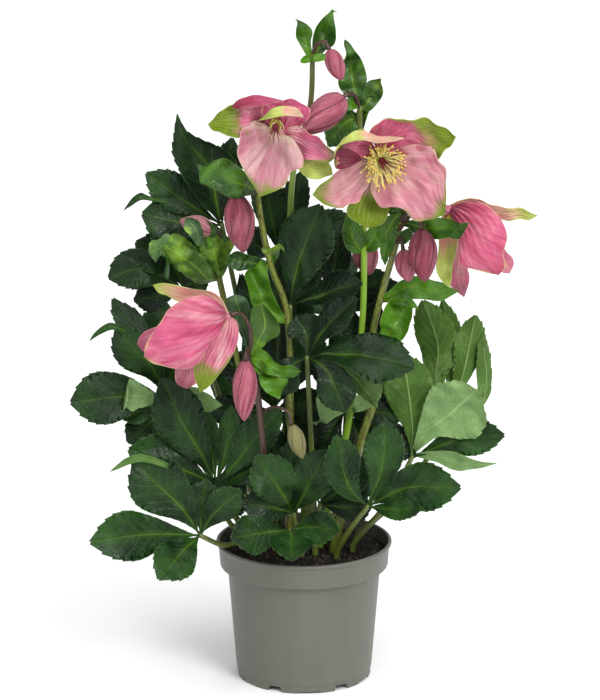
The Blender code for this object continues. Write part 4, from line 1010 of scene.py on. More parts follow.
class Assembly:
    """Patches gathered into one piece."""

    def __init__(self, name: str) -> None:
        """Start an empty piece of this name."""
        self.name = name
        self.patches: list[Patch] = []

    def add(self, patch: Patch) -> None:
        """Add a patch."""
        self.patches.append(patch)

    def piece(self, looks: list[Material]) -> Object:
        """Make the object.

        Args:
            looks: its materials, in the order of the patches' slots.

        Returns:
            The object at the origin, smooth shaded, with a UV map and the attributes
            under, tone, mark and fan.
        """
        points = np.concatenate([patch.points for patch in self.patches])
        starts = np.cumsum([0] + [len(patch.points) for patch in self.patches])
        corners = np.concatenate([p.corners + start for p, start in zip(self.patches, starts)])
        sizes = np.concatenate([patch.sizes for patch in self.patches])
        slots = np.concatenate([np.full(len(p.sizes), p.slot) for p in self.patches])
        uv = np.concatenate([patch.uv for patch in self.patches])
        paint = {
            "under": [patch.under for patch in self.patches],
            "tone": [np.full(len(p.points), p.tone) for p in self.patches],
            "mark": [patch.mark for patch in self.patches],
            "fan": [p.uv[:, 0] if p.fan is None else p.fan for p in self.patches],
        }
        mesh = bpy.data.meshes.new(self.name)
        mesh.vertices.add(len(points))
        mesh.vertices.foreach_set("co", (points * MM).astype(np.float32).ravel())
        mesh.loops.add(len(corners))
        mesh.loops.foreach_set("vertex_index", corners.astype(np.int32))
        mesh.polygons.add(len(sizes))
        mesh.polygons.foreach_set("loop_start", (np.cumsum(sizes) - sizes).astype(np.int32))
        mesh.polygons.foreach_set("material_index", slots.astype(np.int32))
        mesh.update(calc_edges=True)
        layer = mesh.uv_layers.new(name="surface")
        layer.data.foreach_set("uv", uv[corners].astype(np.float32).ravel())
        for label, values in paint.items():
            layer = mesh.attributes.new(label, "FLOAT", "POINT")
            layer.data.foreach_set("value", np.concatenate(values).astype(np.float32))
        mesh.shade_smooth()
        for look in looks:
            mesh.materials.append(look)
        return linked(self.name, mesh)


class Graph:
    """The shader nodes of one material."""

    def __init__(self, name: str) -> None:
        """Start a material with its Principled shader.

        Args:
            name: the material's name.
        """
        self.material = bpy.data.materials.new(name)
        self.material.use_nodes = True
        self.tree = self.material.node_tree
        self.shader = self.tree.nodes["Principled BSDF"]
        self.place = self.node("ShaderNodeTexCoord", {}).outputs["Object"]

    def node(self, kind: str, inputs: dict[int | str, object], **settings: object) -> bpy.types.Node:
        """Add a node.

        Args:
            kind: its type.
            inputs: what its inputs are fed, by name or number.
            settings: the values of its own settings.

        Returns:
            The node.
        """
        made = self.tree.nodes.new(kind)
        for key, value in settings.items():
            setattr(made, key, value)
        for key, value in inputs.items():
            self.feed(made.inputs[key], value)
        return made

    def feed(self, socket: Socket, value: object) -> None:
        """Give an input a constant or the output of another node.

        Args:
            socket: the input.
            value: a number, a tuple or an output. A colour of three parts is made opaque.
        """
        if isinstance(value, Socket):
            self.tree.links.new(value, socket)
        elif isinstance(value, tuple) and len(value) == 3 and socket.type == "RGBA":
            socket.default_value = (*value, 1.0)
        else:
            socket.default_value = value

    def coat(self, label: str, value: object) -> None:
        """Give the shader's input of this name a constant or the output of another node."""
        self.feed(self.shader.inputs[label], value)

    def math(self, operation: str, *values: object) -> Socket:
        """The output of a Math node with these values, from one to three."""
        return self.node("ShaderNodeMath", dict(enumerate(values)), operation=operation).outputs[0]

    def times(self, first: object, second: object) -> Socket:
        """The product of two values."""
        return self.math("MULTIPLY", first, second)

    def plus(self, first: object, second: object) -> Socket:
        """The sum of two values."""
        return self.math("ADD", first, second)

    def minus(self, first: object, second: object) -> Socket:
        """The first value less the second."""
        return self.math("SUBTRACT", first, second)

    def fused(self, value: object, factor: object, added: object) -> Socket:
        """A value times a factor, with something added."""
        return self.math("MULTIPLY_ADD", value, factor, added)

    def mix(self, share: object, first: object, second: object) -> Socket:
        """The output of a colour Mix node."""
        return self.node("ShaderNodeMix", {0: share, 6: first, 7: second}, data_type="RGBA").outputs[2]

    def coated(self, body: object, *coats: tuple[object, object]) -> object:
        """A colour with coats laid over it, one after the other.

        Args:
            body: the colour below.
            coats: how much each coat covers, and its colour.

        Returns:
            The colour on top.
        """
        for share, colour in coats:
            body = self.mix(share, body, colour)
        return body

    def step(self, value: object, low: float, high: float, start: float = 0.0, end: float = 1.0) -> Socket:
        """A soft step of a value, from start at low to end at high."""
        inputs = dict(enumerate((value, low, high, start, end)))
        return self.node("ShaderNodeMapRange", inputs, interpolation_type="SMOOTHSTEP").outputs[0]

    def noise(self, scale: float, detail: float = 4.0, rough: float = 0.55, where: object = None) -> Socket:
        """The value of a Noise texture.

        Args:
            scale: how fine it is.
            detail: how many finer layers it has.
            rough: how strong those are.
            where: its coordinates, or None for Object coordinates.

        Returns:
            The output, from 0 to 1.
        """
        vector = self.place if where is None else where
        inputs = {"Vector": vector, "Scale": scale, "Detail": detail, "Roughness": rough}
        return self.node("ShaderNodeTexNoise", inputs).outputs["Fac"]

    def stretched(self, scale: Point) -> Socket:
        """Object coordinates multiplied by a scale for each axis."""
        return self.node("ShaderNodeMapping", {"Vector": self.place, "Scale": scale}).outputs[0]

    def cells(self, scale: float) -> Socket:
        """The distance to the nearest edge between the cells of a Voronoi texture."""
        inputs = {"Vector": self.place, "Scale": scale}
        return self.node("ShaderNodeTexVoronoi", inputs, feature="DISTANCE_TO_EDGE").outputs["Distance"]

    def split(self, vector: Socket) -> bpy.types.NodeOutputs:
        """The x, y and z of a vector."""
        return self.node("ShaderNodeSeparateXYZ", {0: vector}).outputs

    def surface(self) -> tuple[Socket, Socket]:
        """The two texture coordinates of the piece's own map.

        Returns:
            The outputs across and along.
        """
        outputs = self.split(self.node("ShaderNodeUVMap", {}, uv_map="surface").outputs[0])
        return outputs[0], outputs[1]

    def drawn(self, lengthwise: object, wide: float, long: float) -> Socket:
        """Coordinates about the blade's base, so that noise on them runs out along its veins.

        Args:
            lengthwise: the coordinate along the blade.
            wide: the scale across the veins.
            long: the scale along them.

        Returns:
            The vector.
        """
        fan, tone = self.paint("fan"), self.paint("tone")
        places = (self.times(fan, wide), self.times(lengthwise, long), self.times(tone, 57.0))
        return self.node("ShaderNodeCombineXYZ", dict(enumerate(places))).outputs[0]

    def paint(self, name: str) -> Socket:
        """The value of one of the piece's attributes."""
        return self.node("ShaderNodeAttribute", {}, attribute_name=name).outputs["Fac"]

    def bump(self, height: object, distance: float, strength: float = 1.0) -> None:
        """Drive the shader's normal from a height. The distance is in metres."""
        inputs = {"Strength": strength, "Distance": distance, "Height": height}
        self.coat("Normal", self.node("ShaderNodeBump", inputs).outputs[0])


@dataclass(frozen=True)
class LeafFinish:
    """A satin leaf: dark between pale midrib and side veins, with a paler lower side."""

    name: str
    dark: Colour
    light: Colour
    rib: Colour
    lower: Colour
    pale: Colour
    lower_rib: Colour
    edge: Colour
    gloss: float = 0.3
    veins: float = 9.0
    lean: float = 0.26
    rib_share: float = 0.05
    relief: float = 0.75
    shine: float = 0.19
    blend: float = 0.2

    def make(self) -> Material:
        """Lay the veins on the blade's own map, and mix the colours.

        Returns:
            The material.
        """
        graph = Graph(self.name)
        step, times, plus, minus = graph.step, graph.times, graph.plus, graph.minus
        across, lengthwise = graph.surface()
        tone = graph.paint("tone")
        under = graph.math("MAXIMUM", graph.paint("under"), graph.paint("mark"))
        out = times(graph.math("ABSOLUTE", minus(across, 0.5)), 2.0)
        wobble = times(minus(graph.noise(60.0, 2.0), 0.5), 0.05)
        rib = step(plus(out, wobble), self.rib_share * 0.25, self.rib_share, 1.0, 0.0)
        fade = step(lengthwise, 0.0, 0.75, 1.0, 0.14)
        forward = minus(plus(lengthwise, wobble), times(out, self.lean))
        phase = graph.math("PINGPONG", times(forward, self.veins), 0.5)
        side = times(step(phase, 0.01, 0.06, 1.0, 0.0), step(out, 0.4, 0.95, 1.0, 0.1))
        net = step(graph.cells(420.0), 0.0, 0.14, 1.0, 0.0)
        mottle = graph.noise(34.0, 5.0, 0.6)
        shade = plus(mottle, times(tone, 0.3))
        body = graph.mix(step(shade, 0.42, 0.82), self.dark, self.light)
        upper = graph.coated(
            body,
            (times(step(out, 0.0, 0.35, 0.3, 0.0), fade), self.rib),
            (times(side, times(fade, 0.28)), self.rib),
            (times(side, 0.3), self.edge),
            (times(net, 0.2), self.light),
            (step(out, 0.95, 1.0, 0.0, 0.45), self.edge),
            (times(rib, fade), self.rib),
        )
        lower = graph.coated(
            self.lower,
            (step(tone, 0.5, 0.8), self.pale),
            (step(mottle, 0.48, 0.6, 0.0, self.blend), self.dark),
            (step(mottle, 0.47, 0.39, 0.0, self.blend), self.lower_rib),
            (times(side, 0.2), self.lower_rib),
            (times(net, 0.2), self.dark),
            (times(rib, 0.5), self.lower_rib),
        )
        graph.coat("Base Color", graph.mix(under, upper, lower))
        shine = plus(times(mottle, 0.16), self.gloss - 0.08)
        graph.coat("Roughness", plus(shine, times(under, 0.22)))
        relief = plus(times(side, -0.6), times(net, -0.3))
        relief = times(relief, minus(1.0, times(under, 1.7)))
        for size, detail, share in ((700.0, 3.0, 0.3), (120.0, 2.0, 0.5)):
            relief = plus(relief, times(graph.noise(size, detail), share))
        graph.bump(relief, 0.0005, self.relief)
        graph.coat("Specular IOR Level", self.shine)
        graph.coat("Subsurface Weight", 0.04)
        graph.coat("Subsurface Radius", (0.3, 1.0, 0.1))
        graph.coat("Subsurface Scale", 0.002)
        return graph.material


@dataclass(frozen=True)
class PetalFinish:
    """A thin sepal: rose outside and paler inside, cream at its heart, green where it is marked."""

    name: str
    base: Colour = (0.56, 0.46, 0.3)
    pale: Colour = (0.41, 0.2, 0.2)
    rose: Colour = (0.53, 0.096, 0.2)
    # a grey mauve, partly the own colour of low-tone sepals and buds and partly painted shade that darkens
    # them
    mauve_and_painted_shade: Colour = (0.27, 0.15, 0.165)
    deep: Colour = (0.3, 0.01, 0.05)
    # painted shade: near black maroon laid over a sepal whose tone is above 1.1, for the shadow inside a
    # fold
    shade: Colour = (0.1, 0.004, 0.018)
    green: Colour = (0.13, 0.2, 0.003)
    rim: Colour = (0.57, 0.44, 0.2)
    husk: Colour = (0.72, 0.68, 0.2)
    # pleat and mauve: the sepal's own pale and mauve streaks, also laid in broad bands as painted highlight
    # and painted shade of its folds
    pleat: Colour = (0.62, 0.4, 0.38)
    mauve: Colour = (0.36, 0.1, 0.17)
    veins: float = 15.0
    heart: float = 0.8
    edging: float = 0.4
    # painted shade: a dark line along the seams of a bud, where one sepal lies over the next
    seam_shade: float = 0.0

    def make(self) -> Material:
        """Lay the veins on the sepal's own map, and mix the colours.

        Returns:
            The material.
        """
        graph = Graph(self.name)
        step, times, plus, minus = graph.step, graph.times, graph.plus, graph.minus
        across, lengthwise = graph.surface()
        under, tone, mark = graph.paint("under"), graph.paint("tone"), graph.paint("mark")
        out = times(graph.math("ABSOLUTE", minus(across, 0.5)), 2.0)
        soft = graph.noise(48.0, 4.0, 0.6)
        blotch = graph.noise(130.0, 4.0, 0.7)
        fan = graph.noise(1.0, 3.0, 0.6, graph.drawn(lengthwise, self.veins, 1.6))
        hair = graph.noise(1.0, 2.0, 0.6, graph.drawn(lengthwise, self.veins * 3.0, 2.6))
        vein = graph.math("MAXIMUM", step(fan, 0.5, 0.68), step(hair, 0.52, 0.7, 0.0, 0.7))
        pleat = step(fan, 0.5, 0.34)
        blush = plus(times(tone, 0.8), graph.fused(soft, 0.9, -0.2))
        for part, share in ((out, 0.12), (under, 0.2)):
            blush = plus(blush, times(part, share))
        # below tone 0.3 the pale colour turns to the grey mauve: partly own colour, partly painted shade
        pale = graph.mix(step(tone, 0.3, 0.1, 0.0, 0.8), self.pale, self.mauve_and_painted_shade)
        body = graph.mix(step(blush, 0.35, 1.0), pale, self.rose)
        richer = times(step(blush, 0.72, 1.35), step(lengthwise, 0.0, 0.8, 1.0, 0.4))
        seated = times(under, step(lengthwise, 0.05, 0.5, 0.5, 0.0))
        body = graph.mix(graph.math("MAXIMUM", richer, seated), body, self.deep)
        streak = times(pleat, step(blotch, 0.3, 0.7, 0.3, 1.0))
        plain = step(tone, 0.6, 1.0, 1.0, 0.4)
        # broad bands along the veins: partly the sepal's own pale and mauve streaks, partly painted
        # highlight and shade of its folds
        broad = graph.noise(1.0, 3.0, 0.55, graph.drawn(lengthwise, 5.0, 1.7))
        inner = times(plain, graph.fused(under, -0.6, 1.0))
        heart = step(tone, 0.4, 0.8, self.heart, 0.0)
        cream = times(step(lengthwise, 0.04, 0.4, 1.0, 0.0), heart)
        tip = graph.mix(times(under, 0.85), self.green, self.husk)
        margin = plus(out, times(minus(blotch, 0.5), 0.16))
        edging = step(soft, 0.4, 0.6, 0.15 * self.edging, self.edging)
        body = graph.coated(
            body,
            (times(times(streak, plain), 0.35), self.pleat),
            # partly own colour, partly painted highlight (pale bands) and painted shade (mauve bands) of the
            # folds
            (times(step(broad, 0.46, 0.66, 0.0, 0.5), inner), self.pleat),
            (times(step(broad, 0.5, 0.34, 0.0, 0.5), inner), self.mauve),
            (times(cream, minus(1.0, under)), self.base),
            (times(vein, graph.fused(under, 0.36, 0.24)), self.deep),
            (times(mark, step(blotch, 0.2, 0.6, 0.92, 1.0)), tip),
            # the rim colour: a sepal's own pale margin; on a bud it lies beside the seam as a painted
            # highlight
            (times(step(margin, 0.88, 0.99), edging), self.rim),
            # painted shade: the dark line where one sepal of a bud lies over the next
            (step(across, 0.01, 0.07, self.seam_shade, 0.0), self.deep),
            # painted shade: from tone 1.1 to 1.5 the sepal darkens towards the shade colour, the shadow
            # inside a fold
            (step(tone, 1.1, 1.5, 0.0, 0.9), self.shade),
        )
        graph.coat("Base Color", body)
        graph.coat("Roughness", graph.fused(soft, 0.15, 0.4))
        height = plus(times(vein, -0.5), times(blotch, 0.5))
        graph.bump(height, 0.0006, 0.8)
        graph.coat("Specular IOR Level", 0.3)
        graph.coat("Subsurface Weight", 0.06)
        graph.coat("Subsurface Radius", (1.0, 0.35, 0.35))
        graph.coat("Subsurface Scale", 0.002)
        graph.coat("Sheen Weight", 0.1)
        graph.coat("Sheen Roughness", 0.4)
        return graph.material


@dataclass(frozen=True)
class StemFinish:
    """A ribbed stem with small streaks and speckles of a second colour."""

    name: str
    body: Colour
    fleck: Colour
    amount: float = 0.5
    turn: float = 2.0
    gloss: float = 0.38

    def make(self) -> Material:
        """Draw streaks and speckles out along the stem.

        Returns:
            The material.
        """
        graph = Graph(self.name)
        streak = graph.noise(1.0, 4.0, 0.6, graph.stretched((420.0, 420.0, 40.0)))
        speck = graph.noise(1.0, 3.0, 0.7, graph.stretched((900.0, 900.0, 320.0)))
        tone = graph.noise(18.0, 3.0)
        spots = graph.step(speck, 0.62 - 0.2 * self.amount, 0.72 - 0.1 * self.amount)
        lines = graph.step(streak, 0.66 - 0.25 * self.amount, 0.85 - 0.1 * self.amount)
        cover = graph.times(graph.math("MAXIMUM", spots, lines), graph.step(tone, 0.2, 0.6, 0.45, 1.0))
        height = graph.split(graph.place)[2]
        faded = graph.step(height, self.turn - 0.03, self.turn + 0.02, 0.0, 0.8)
        cover = graph.math("MAXIMUM", cover, faded)
        graph.coat("Base Color", graph.mix(cover, self.body, self.fleck))
        graph.coat("Roughness", graph.fused(streak, 0.2, self.gloss - 0.08))
        graph.bump(graph.plus(streak, graph.times(speck, 0.5)), 0.0004, 0.6)
        return graph.material


@dataclass(frozen=True)
class PlainFinish:
    """A small part's finish: two shades mixed by noise, with a fine grain."""

    name: str
    first: Colour
    second: Colour
    gloss: float = 0.5
    scale: float = 220.0
    grain: float = 0.0002

    def make(self) -> Material:
        """Mix the colours and the grain.

        Returns:
            The material.
        """
        graph = Graph(self.name)
        cloud = graph.noise(self.scale, 4.0, 0.6)
        graph.coat("Base Color", graph.mix(graph.step(cloud, 0.3, 0.7), self.first, self.second))
        graph.coat("Roughness", graph.fused(cloud, 0.2, self.gloss - 0.1))
        graph.bump(graph.noise(self.scale * 4, 3.0), self.grain, 0.7)
        return graph.material


@dataclass(frozen=True)
class PotFinish:
    """Satin moulded plastic: a fine grain, faint flow streaks and a little dust near the foot."""

    name: str = "pot_plastic_satin"
    body: Colour = (0.109, 0.11, 0.09)
    worn: Colour = (0.132, 0.133, 0.11)
    dust: Colour = (0.15, 0.145, 0.122)

    def make(self) -> Material:
        """Mix the colours and the grain.

        Returns:
            The material.
        """
        graph = Graph(self.name)
        streak = graph.noise(1.0, 4.0, 0.6, graph.stretched((60.0, 60.0, 9.0)))
        cloud = graph.noise(16.0, 5.0, 0.6)
        low = graph.step(graph.split(graph.place)[2], 0.0, 0.03, 0.3, 0.0)
        body = graph.mix(graph.step(streak, 0.35, 0.75, 0.0, 0.5), self.body, self.worn)
        body = graph.mix(graph.times(low, graph.step(cloud, 0.3, 0.7)), body, self.dust)
        graph.coat("Base Color", body)
        graph.coat("Roughness", graph.fused(cloud, 0.14, 0.36))
        grain = graph.plus(graph.noise(1400.0, 3.0), graph.times(streak, 0.6))
        graph.bump(grain, 0.00012, 0.6)
        graph.coat("Specular IOR Level", 0.32)
        return graph.material


@dataclass(frozen=True)
class SoilFinish:
    """Damp potting soil: black-brown with lighter fibres and crumbs."""

    name: str = "potting_soil_damp"
    wet: Colour = (0.004, 0.003, 0.002)
    dry: Colour = (0.009, 0.006, 0.0035)

    def make(self) -> Material:
        """Mix the colours and the grain.

        Returns:
            The material.
        """
        graph = Graph(self.name)
        coarse = graph.noise(260.0, 6.0, 0.7)
        fine = graph.noise(1300.0, 4.0, 0.7)
        shade = graph.fused(fine, 0.4, graph.times(coarse, 0.6))
        graph.coat("Base Color", graph.mix(graph.step(shade, 0.4, 0.72), self.wet, self.dry))
        graph.coat("Roughness", graph.fused(coarse, 0.3, 0.6))
        graph.bump(graph.plus(coarse, fine), 0.0012, 1.0)
        graph.coat("Specular IOR Level", 0.2)
        return graph.material


class Wardrobe:
    """Every material of the plant and its pot, made once."""

    def __init__(self) -> None:
        """Make the materials."""
        self.leaf = LeafFinish(
            "leaf_dark", dark=(0.0025, 0.012, 0.003), light=(0.019, 0.062, 0.009), rib=(0.12, 0.25, 0.016),
            lower=(0.07, 0.148, 0.022), pale=(0.2, 0.33, 0.12), lower_rib=(0.34, 0.48, 0.18),
            edge=(0.08, 0.14, 0.05),
        ).make()
        # painted shade: a darker copy of the leaf finish, for the leaves inside the foliage
        self.deep = LeafFinish(
            "leaf_painted_shade", dark=(0.001, 0.006, 0.002), light=(0.009, 0.034, 0.005), rib=(0.1, 0.21, 0.014),
            lower=(0.05, 0.11, 0.02), pale=(0.2, 0.33, 0.12), lower_rib=(0.25, 0.38, 0.12),
            edge=(0.05, 0.09, 0.03),
        ).make()
        self.bract = LeafFinish(
            "bract_bright", dark=(0.008, 0.042, 0.005), light=(0.07, 0.2, 0.006), rib=(0.2, 0.34, 0.02),
            lower=(0.05, 0.105, 0.04), pale=(0.135, 0.27, 0.01), lower_rib=(0.22, 0.34, 0.02),
            edge=(0.24, 0.3, 0.1), gloss=0.24, veins=7.0, blend=0.8, relief=0.8, shine=0.34,
        ).make()
        self.petal = PetalFinish("sepal_rose").make()
        self.fold = PetalFinish(
            "sepal_cream", pale=(0.6, 0.41, 0.27), rose=(0.64, 0.24, 0.23), deep=(0.5, 0.2, 0.14),
            pleat=(0.62, 0.48, 0.28), mauve=(0.56, 0.28, 0.22), green=(0.4, 0.47, 0.1),
            rim=(0.3, 0.34, 0.08), husk=(0.42, 0.46, 0.13), edging=0.9,
        ).make()
        # the bud's dark seams are painted shade, and its lighter rim beside them is a painted highlight
        self.bud = PetalFinish(
            "bud_rose", base=(0.3, 0.12, 0.1), pale=(0.42, 0.13, 0.17), rose=(0.26, 0.033, 0.066),
            deep=(0.075, 0.004, 0.014), green=(0.16, 0.18, 0.05), rim=(0.4, 0.15, 0.18),
            pleat=(0.48, 0.2, 0.24), mauve=(0.26, 0.033, 0.066), veins=9.0, heart=0.0, edging=0.3,
            seam_shade=0.95,
        ).make()
        stems = {
            Skin.GREEN: StemFinish("stalk_green", (0.08, 0.12, 0.014), (0.07, 0.028, 0.012)),
            Skin.BRIGHT: StemFinish("stem_bright", (0.2, 0.38, 0.015), (0.07, 0.075, 0.02), 0.1, 0.385),
            Skin.SPECKLED: StemFinish("stem_speckled", (0.15, 0.2, 0.018), (0.06, 0.018, 0.012), 0.75),
            Skin.PURPLE: StemFinish("stem_purple", (0.055, 0.024, 0.014), (0.03, 0.005, 0.007), 0.6),
            Skin.FADED: StemFinish("stem_faded", (0.17, 0.27, 0.03), (0.07, 0.055, 0.015), 0.2, 0.41),
        }
        self.stems = {skin: finish.make() for skin, finish in stems.items()}
        self.filament = PlainFinish("filament_cream", (0.72, 0.64, 0.2), (0.82, 0.76, 0.4)).make()
        pollen = PlainFinish("anther_yellow", (0.62, 0.42, 0.05), (0.75, 0.6, 0.2), 0.7, 900.0, 0.0004)
        self.anther = pollen.make()
        self.nectary = PlainFinish("nectary_green", (0.4, 0.42, 0.01), (0.6, 0.52, 0.03), 0.35).make()
        self.style = PlainFinish("style_red", (0.2, 0.012, 0.03), (0.09, 0.006, 0.015), 0.4).make()
        self.pot = PotFinish().make()
        self.soil = SoilFinish().make()
        litter = PlainFinish("soil_crumb", (0.006, 0.004, 0.002), (0.032, 0.019, 0.009), 0.85, 400.0, 0.0006)
        self.crumb = litter.make()


class Outline(Enum):
    """The plan form of a blade."""

    LEAFLET = "leaflet"
    BRACT = "bract"

    def widths(self, steps: Array) -> Array:
        """Relative width from base to tip: a sine of a power of the length, itself to a power."""
        power = 1.85 if self is Outline.LEAFLET else 0.85
        return np.sin(math.pi * steps**power) ** 0.8


@dataclass
class BladeMaker:
    """Makes toothed blades for leaves and bracts."""

    outline: Outline
    teeth: int
    columns: int
    thickness: float = 0.5
    tooth_depth: float = 0.85
    narrowest: float = 0.9
    veins: float = 9.0
    lean: float = 0.26
    fold: float = 0.16
    arch: float = 0.07
    wave: float = 0.05

    def patch(self, shape: Blade, base: Array, seed: int) -> Patch:
        """One blade.

        The middle surface is a midrib curve with a width across it. Its margin is cut by a saw
        wave, and it is raised by a fold along the midrib, by slow waves at the margin, and by
        puckers between the side veins.

        Args:
            shape: the blade's row of the table.
            base: the true place that it starts from.
            seed: the seed of its random waves.

        Returns:
            The closed patch.
        """
        draw = np.random.default_rng(seed)
        steps, cut, shift = toothed(self.teeth, 0)
        spine = along(np.vstack([base, placed(shape.points)]), steps)
        length = chords(spine).sum()
        upward = facing_frames(spine, shape.faces)[1]
        spine = spine + upward * (self.arch * length * 4 * steps * (1 - steps))[:, None]
        tangent, upward, side = facing_frames(spine, shape.faces)
        half = np.maximum(0.5 * shape.width * self.outline.widths(steps), self.narrowest)
        half[-3:] = np.minimum(half[-3:], [half[-3], 0.7 * half[-3], 0.12])
        even = np.linspace(-1.0, 1.0, self.columns)
        across = np.sign(even) * np.abs(even) ** 1.2
        rim = across[None, :] ** 8
        depth = self.tooth_depth * np.minimum(1.0, half / 9.0)
        reach = half[:, None] * across + np.sign(across) * (cut * depth)[:, None] * rim
        sinuous = 0.1 * length * np.sin(2.6 * steps + draw.uniform(0, 6)) * steps * (1 - steps)
        forward = shift[:, None] * rim * length / self.teeth
        out = np.abs(across)[None, :]
        fold = self.fold * (np.sqrt((half[:, None] * across) ** 2 + 2.0) - 1.414)
        ripple = self.wave * (half * np.sin(7 * steps))[:, None] * out**1.5
        turn = np.where(across < 0, *draw.uniform(0, TURN, 2))[None, :]
        flutter = 0.09 * half[:, None] * np.sin(9 * steps[:, None] + turn) * out**2
        flutter = flutter + 0.04 * half[:, None] * np.sin(21 * steps[:, None] + 2 * turn) * out**3
        veins = self.veins * (steps[:, None] - self.lean * out)
        pucker = -0.028 * np.minimum(half, 9.0)[:, None] * np.cos(TURN * veins)
        pucker = pucker * out**0.6 * (1 - out**4)
        groove = -0.45 * np.exp(-((half[:, None] * across / 0.9) ** 2)) * np.minimum(1, half / 5)[:, None]
        rise = fold + ripple + flutter + pucker + groove
        middle = spine[:, None] + side[:, None] * (reach + sinuous[:, None] * 0.35)[..., None]
        middle = middle + upward[:, None] * rise[..., None] + tangent[:, None] * forward[..., None]
        lumps = 0.7 * waves(middle + 50 * draw.random(3), 17.0, 8, seed)
        middle = middle + upward[:, None] * lumps[..., None]
        return sheet(middle, across, steps, self.thickness, float(draw.uniform(0, 0.5)))

    def spur(self, shape: Blade | Shell, seed: int) -> Patch:
        """A blade or shell that starts from a base of its own.

        Args:
            shape: its row of the table.
            seed: the seed of its random waves.

        Returns:
            The closed patch.
        """
        if isinstance(shape, Shell):
            crumple = 2.4 if self.outline is Outline.BRACT else 0.9
            return spanned(placed(shape.base), shape, np.array(shape.faces), seed, crumple=crumple)
        rest = Blade(shape.width, shape.faces, shape.points[1:])
        return self.patch(rest, placed(shape.points[0]), seed)


def rooted(plan: LeafPlan | StemPlan) -> Patch:
    """The stalk of a leaf or stem: upright in its hole, and then along its points.

    Args:
        plan: the leaf's or stem's row of the table.

    Returns:
        The closed patch in the second material, thicker towards its foot, with low swells.
    """
    bottom = np.array([*plan.root, SOIL_TOP - HOLE_DEPTH + GAP])
    surface = np.array([*plan.root, SOIL_TOP + SOIL_CLEAR])
    route = np.vstack([surface, placed(plan.stalk)])
    steps = shares(max(8, round(chords(route).sum() / 5)))
    curve = along(route, steps, before=bottom)
    radii = (plan.foot + (plan.neck - plan.foot) * steps) * (1 + 0.03 * np.sin(9 * steps))
    radii = np.concatenate([[plan.foot, plan.foot], radii])
    lower = np.linspace(bottom, surface, 3)[:2]
    return tube(np.vstack([lower, curve]), radii, 14, 1, ridges=5, ridge_depth=0.05)


@dataclass
class Leaf:
    """One leaf: a stalk with toothed leaflets that spread from the end of it."""

    name: str
    plan: LeafPlan
    wardrobe: Wardrobe
    seed: int

    def build(self) -> Object:
        """Join the stalk, the blades and the spurs.

        Returns:
            The piece that stands for the leaf's solid.
        """
        plan = self.plan
        teeth, columns = (10, 17) if plan.stalk[-1][1] > HIDDEN else (14, 27)
        maker = BladeMaker(Outline.LEAFLET, teeth, columns)
        before, hub = placed(plan.stalk)[-2:]
        base = hub - unit(hub - before) * JOINT
        whole = Assembly(self.name + "_blades")
        whole.add(rooted(plan))
        for number, shape in enumerate(plan.blades):
            whole.add(maker.patch(shape, base, self.seed * BLADE_SEEDS + number))
        for number, shape in enumerate(plan.spurs, SPUR_SEEDS):
            whole.add(maker.spur(shape, self.seed * BLADE_SEEDS + number))
        # painted shade: leaves inside the foliage take the darker copy of the leaf finish
        look = self.wardrobe.deep if plan.deep else self.wardrobe.leaf
        return whole.piece([look, self.wardrobe.stems[plan.skin]])


@dataclass
class Stem:
    """A flowering stem with its side stalks and leafy bracts."""

    name: str
    plan: StemPlan
    wardrobe: Wardrobe
    seed: int

    def build(self) -> Object:
        """Join the stem, its side stalks and its bracts.

        Returns:
            The piece that stands for the stem's solid.
        """
        plan = self.plan
        whole = Assembly(self.name + "_bracts")
        whole.add(rooted(plan))
        for item in plan.branches:
            seat, axis = self.ending(item)
            route = np.vstack([placed(item.points), seat - 5 * axis, seat])
            steps = shares(22)
            curve = along(route, steps)
            radii = item.radius * (1 + 0.3 * smooth(0.8, 1.0, steps) + 0.25 * smooth(0.2, 0.0, steps))
            whole.add(tube(curve, radii, 12, 2, 0.5, ridges=4, ridge_depth=0.04))
        maker = BladeMaker(Outline.BRACT, 11, 23, tooth_depth=0.7, veins=7.0)
        for number, item in enumerate(plan.bracts):
            whole.add(maker.spur(item, self.seed * BRACT_SEEDS + number))
        stems = self.wardrobe.stems
        return whole.piece([self.wardrobe.bract, stems[plan.skin], stems[Skin.PURPLE]])

    def ending(self, branch: Branch) -> tuple[Array, Array]:
        """Find the end of a side stalk, at the bloom or bud nearest to it.

        Args:
            branch: the side stalk's row of the table.

        Returns:
            The true place of the end, and the way that it points.
        """
        last = placed(branch.points[-1])
        ends = [(placed(item.seat), placed(item.aim)) for item in BLOOMS.values()]
        ends += [(placed(item.seat), placed(item.tip)) for item in BUDS.values()]
        seat, far = min(ends, key=lambda pair: np.linalg.norm(pair[0] - last))
        return seat, unit(far - seat)


